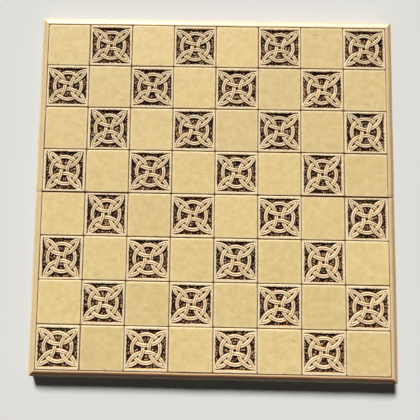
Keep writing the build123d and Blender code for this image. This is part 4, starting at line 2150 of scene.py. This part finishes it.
@dataclass
class Fittings:
    """Bedding, hinges, screws and pins, whose shapes the frame already has."""

    finishes: Finishes

    def dress(self) -> None:
        """Gives each fitting its finish."""
        kinds = {
            "_tile_bed": self.finishes.bedding,
            "_leaf": self.finishes.hinge,
            "_screws": self.finishes.screw,
            "_pin": self.finishes.pin,
        }
        for name, node in sorted(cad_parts.items()):
            for ending, finish in kinds.items():
                if name.endswith(ending):
                    node.data.materials.clear()
                    node.data.materials.append(finish)
                    log.info("%s: %s", name, finish.name)


# Studio


@dataclass
class Studio:
    """Floor, light and camera.

    Attributes:
        camera_place: Place of the camera.
        camera_turn: Turns of the camera about X, Y and Z in degrees.
        lens: Focal length in millimetres on the sensor.
        sensor: Width of the sensor in millimetres.
        frame_shift: Shift of the photograph's frame to the right and up, as shares of its width.
        key_turn: Direction that the key light comes from, in degrees from the far side to the left.
        key_height: Height of the key light over the horizon in degrees.
        key_level: Share of a level surface's light that the key gives.
        key_spread: Width of the key light in degrees.
        sky_level: Share that the sky gives.
        floor_reach: Half the floor's width.
        floor_colour: Colour of the floor where the camera sees it.
        floor_bounce: Colour of the floor as it lights the board.
        backdrop: Colour beyond the floor.
    """

    camera_place: tuple[float, float, float] = (-30.8 * MM, -11.8 * MM, 487.2 * MM)
    camera_turn: tuple[float, float, float] = (4.70, 0.46, 1.03)
    lens: float = 38.57
    sensor: float = 36.0
    frame_shift: tuple[float, float] = (0.0686, -0.099)
    key_turn: float = 14.0
    key_height: float = 37.0
    key_level: float = 0.93
    key_spread: float = 12.0
    sky_level: float = 0.03
    floor_reach: float = 4.0
    floor_colour: Colour = paint(226, 225, 221)
    floor_bounce: Colour = paint(120, 116, 110)
    backdrop: Colour = paint(236, 236, 234)

    def camera(self) -> None:
        """Adds the camera at the photograph's angle."""
        data = bpy.data.cameras.new("camera")
        data.lens, data.sensor_width = self.lens, self.sensor
        data.shift_x, data.shift_y = self.frame_shift
        camera = bpy.data.objects.new("camera", data)
        camera.location = self.camera_place
        camera.rotation_euler = [math.radians(angle) for angle in self.camera_turn]
        bpy.context.scene.collection.objects.link(camera)
        bpy.context.scene.camera = camera

    def key(self) -> None:
        """Adds the key light, as a broad sun from the far left."""
        data = bpy.data.lights.new("key", "SUN")
        data.angle = math.radians(self.key_spread)
        data.energy = self.key_level * math.pi / math.sin(math.radians(self.key_height))
        light = bpy.data.objects.new("key", data)
        lean = math.radians(90 - self.key_height)
        light.rotation_euler = (-lean, 0, math.radians(self.key_turn))
        bpy.context.scene.collection.objects.link(light)

    def seen_directly(self, tree: Tree) -> Socket:
        """Tells rays that come from the camera, from gloss or through glass from all others.

        Args:
            tree: Tree that the nodes go into.

        Returns:
            1 for such rays and 0 for the others.
        """
        path = tree.node("ShaderNodeLightPath", {})
        seen = tree.math("MAXIMUM", path.outputs["Is Camera Ray"], path.outputs["Is Glossy Ray"])
        return tree.math("MAXIMUM", seen, path.outputs["Is Transmission Ray"])

    def sky(self) -> None:
        """Sets the world: dim for the light it gives, pale where it is seen."""
        world = bpy.data.worlds.new("sky")
        world.use_nodes = True
        tree = Tree(world.node_tree)
        dim = tree.node("ShaderNodeBackground", {"Color": (1, 1, 1, 1), "Strength": self.sky_level})
        pale = tree.node("ShaderNodeBackground", {"Color": self.backdrop, "Strength": 1.0})
        share = self.seen_directly(tree)
        mixed = tree.node("ShaderNodeMixShader", {0: share, 1: dim.outputs[0], 2: pale.outputs[0]})
        tree.node("ShaderNodeOutputWorld", {"Surface": mixed.outputs[0]})
        bpy.context.scene.world = world

    def floor(self) -> None:
        """Adds the plain pale floor, which bounces less light than it shows."""
        reach = self.floor_reach
        corners = [(-reach, -reach, 0), (reach, -reach, 0), (reach, reach, 0), (-reach, reach, 0)]
        mesh = bpy.data.meshes.new("floor")
        mesh.from_pydata(corners, [], [(0, 1, 2, 3)])
        floor = bpy.data.objects.new("floor", mesh)
        bpy.context.scene.collection.objects.link(floor)
        tree = new_material("pale_floor")
        colour = tree.mix(self.seen_directly(tree), self.floor_bounce, self.floor_colour)
        finish = close_material(tree, "pale_floor", {"Color": colour}, "ShaderNodeBsdfDiffuse")
        mesh.materials.append(finish)

    def build(self) -> None:
        """Builds the studio."""
        self.camera()
        self.key()
        self.sky()
        self.floor()
        bpy.context.scene.view_settings.view_transform = "Standard"
        log.info("studio ready")


def main() -> None:
    """Builds the board's dress and the studio round it."""
    logging.basicConfig(level=logging.INFO, format="%(name)s: %(message)s")
    sizes, finishes = Sizes.read(), Finishes()
    Studio().build()
    Fittings(finishes).dress()
    CastHalves(sizes, finishes.rim).build()
    PlainTiles(sizes, finishes.plain).build()
    KnotTiles(finishes.knot).build()
    FeltPads(finishes.felt).build()


if __name__ == "__main__":
    main()
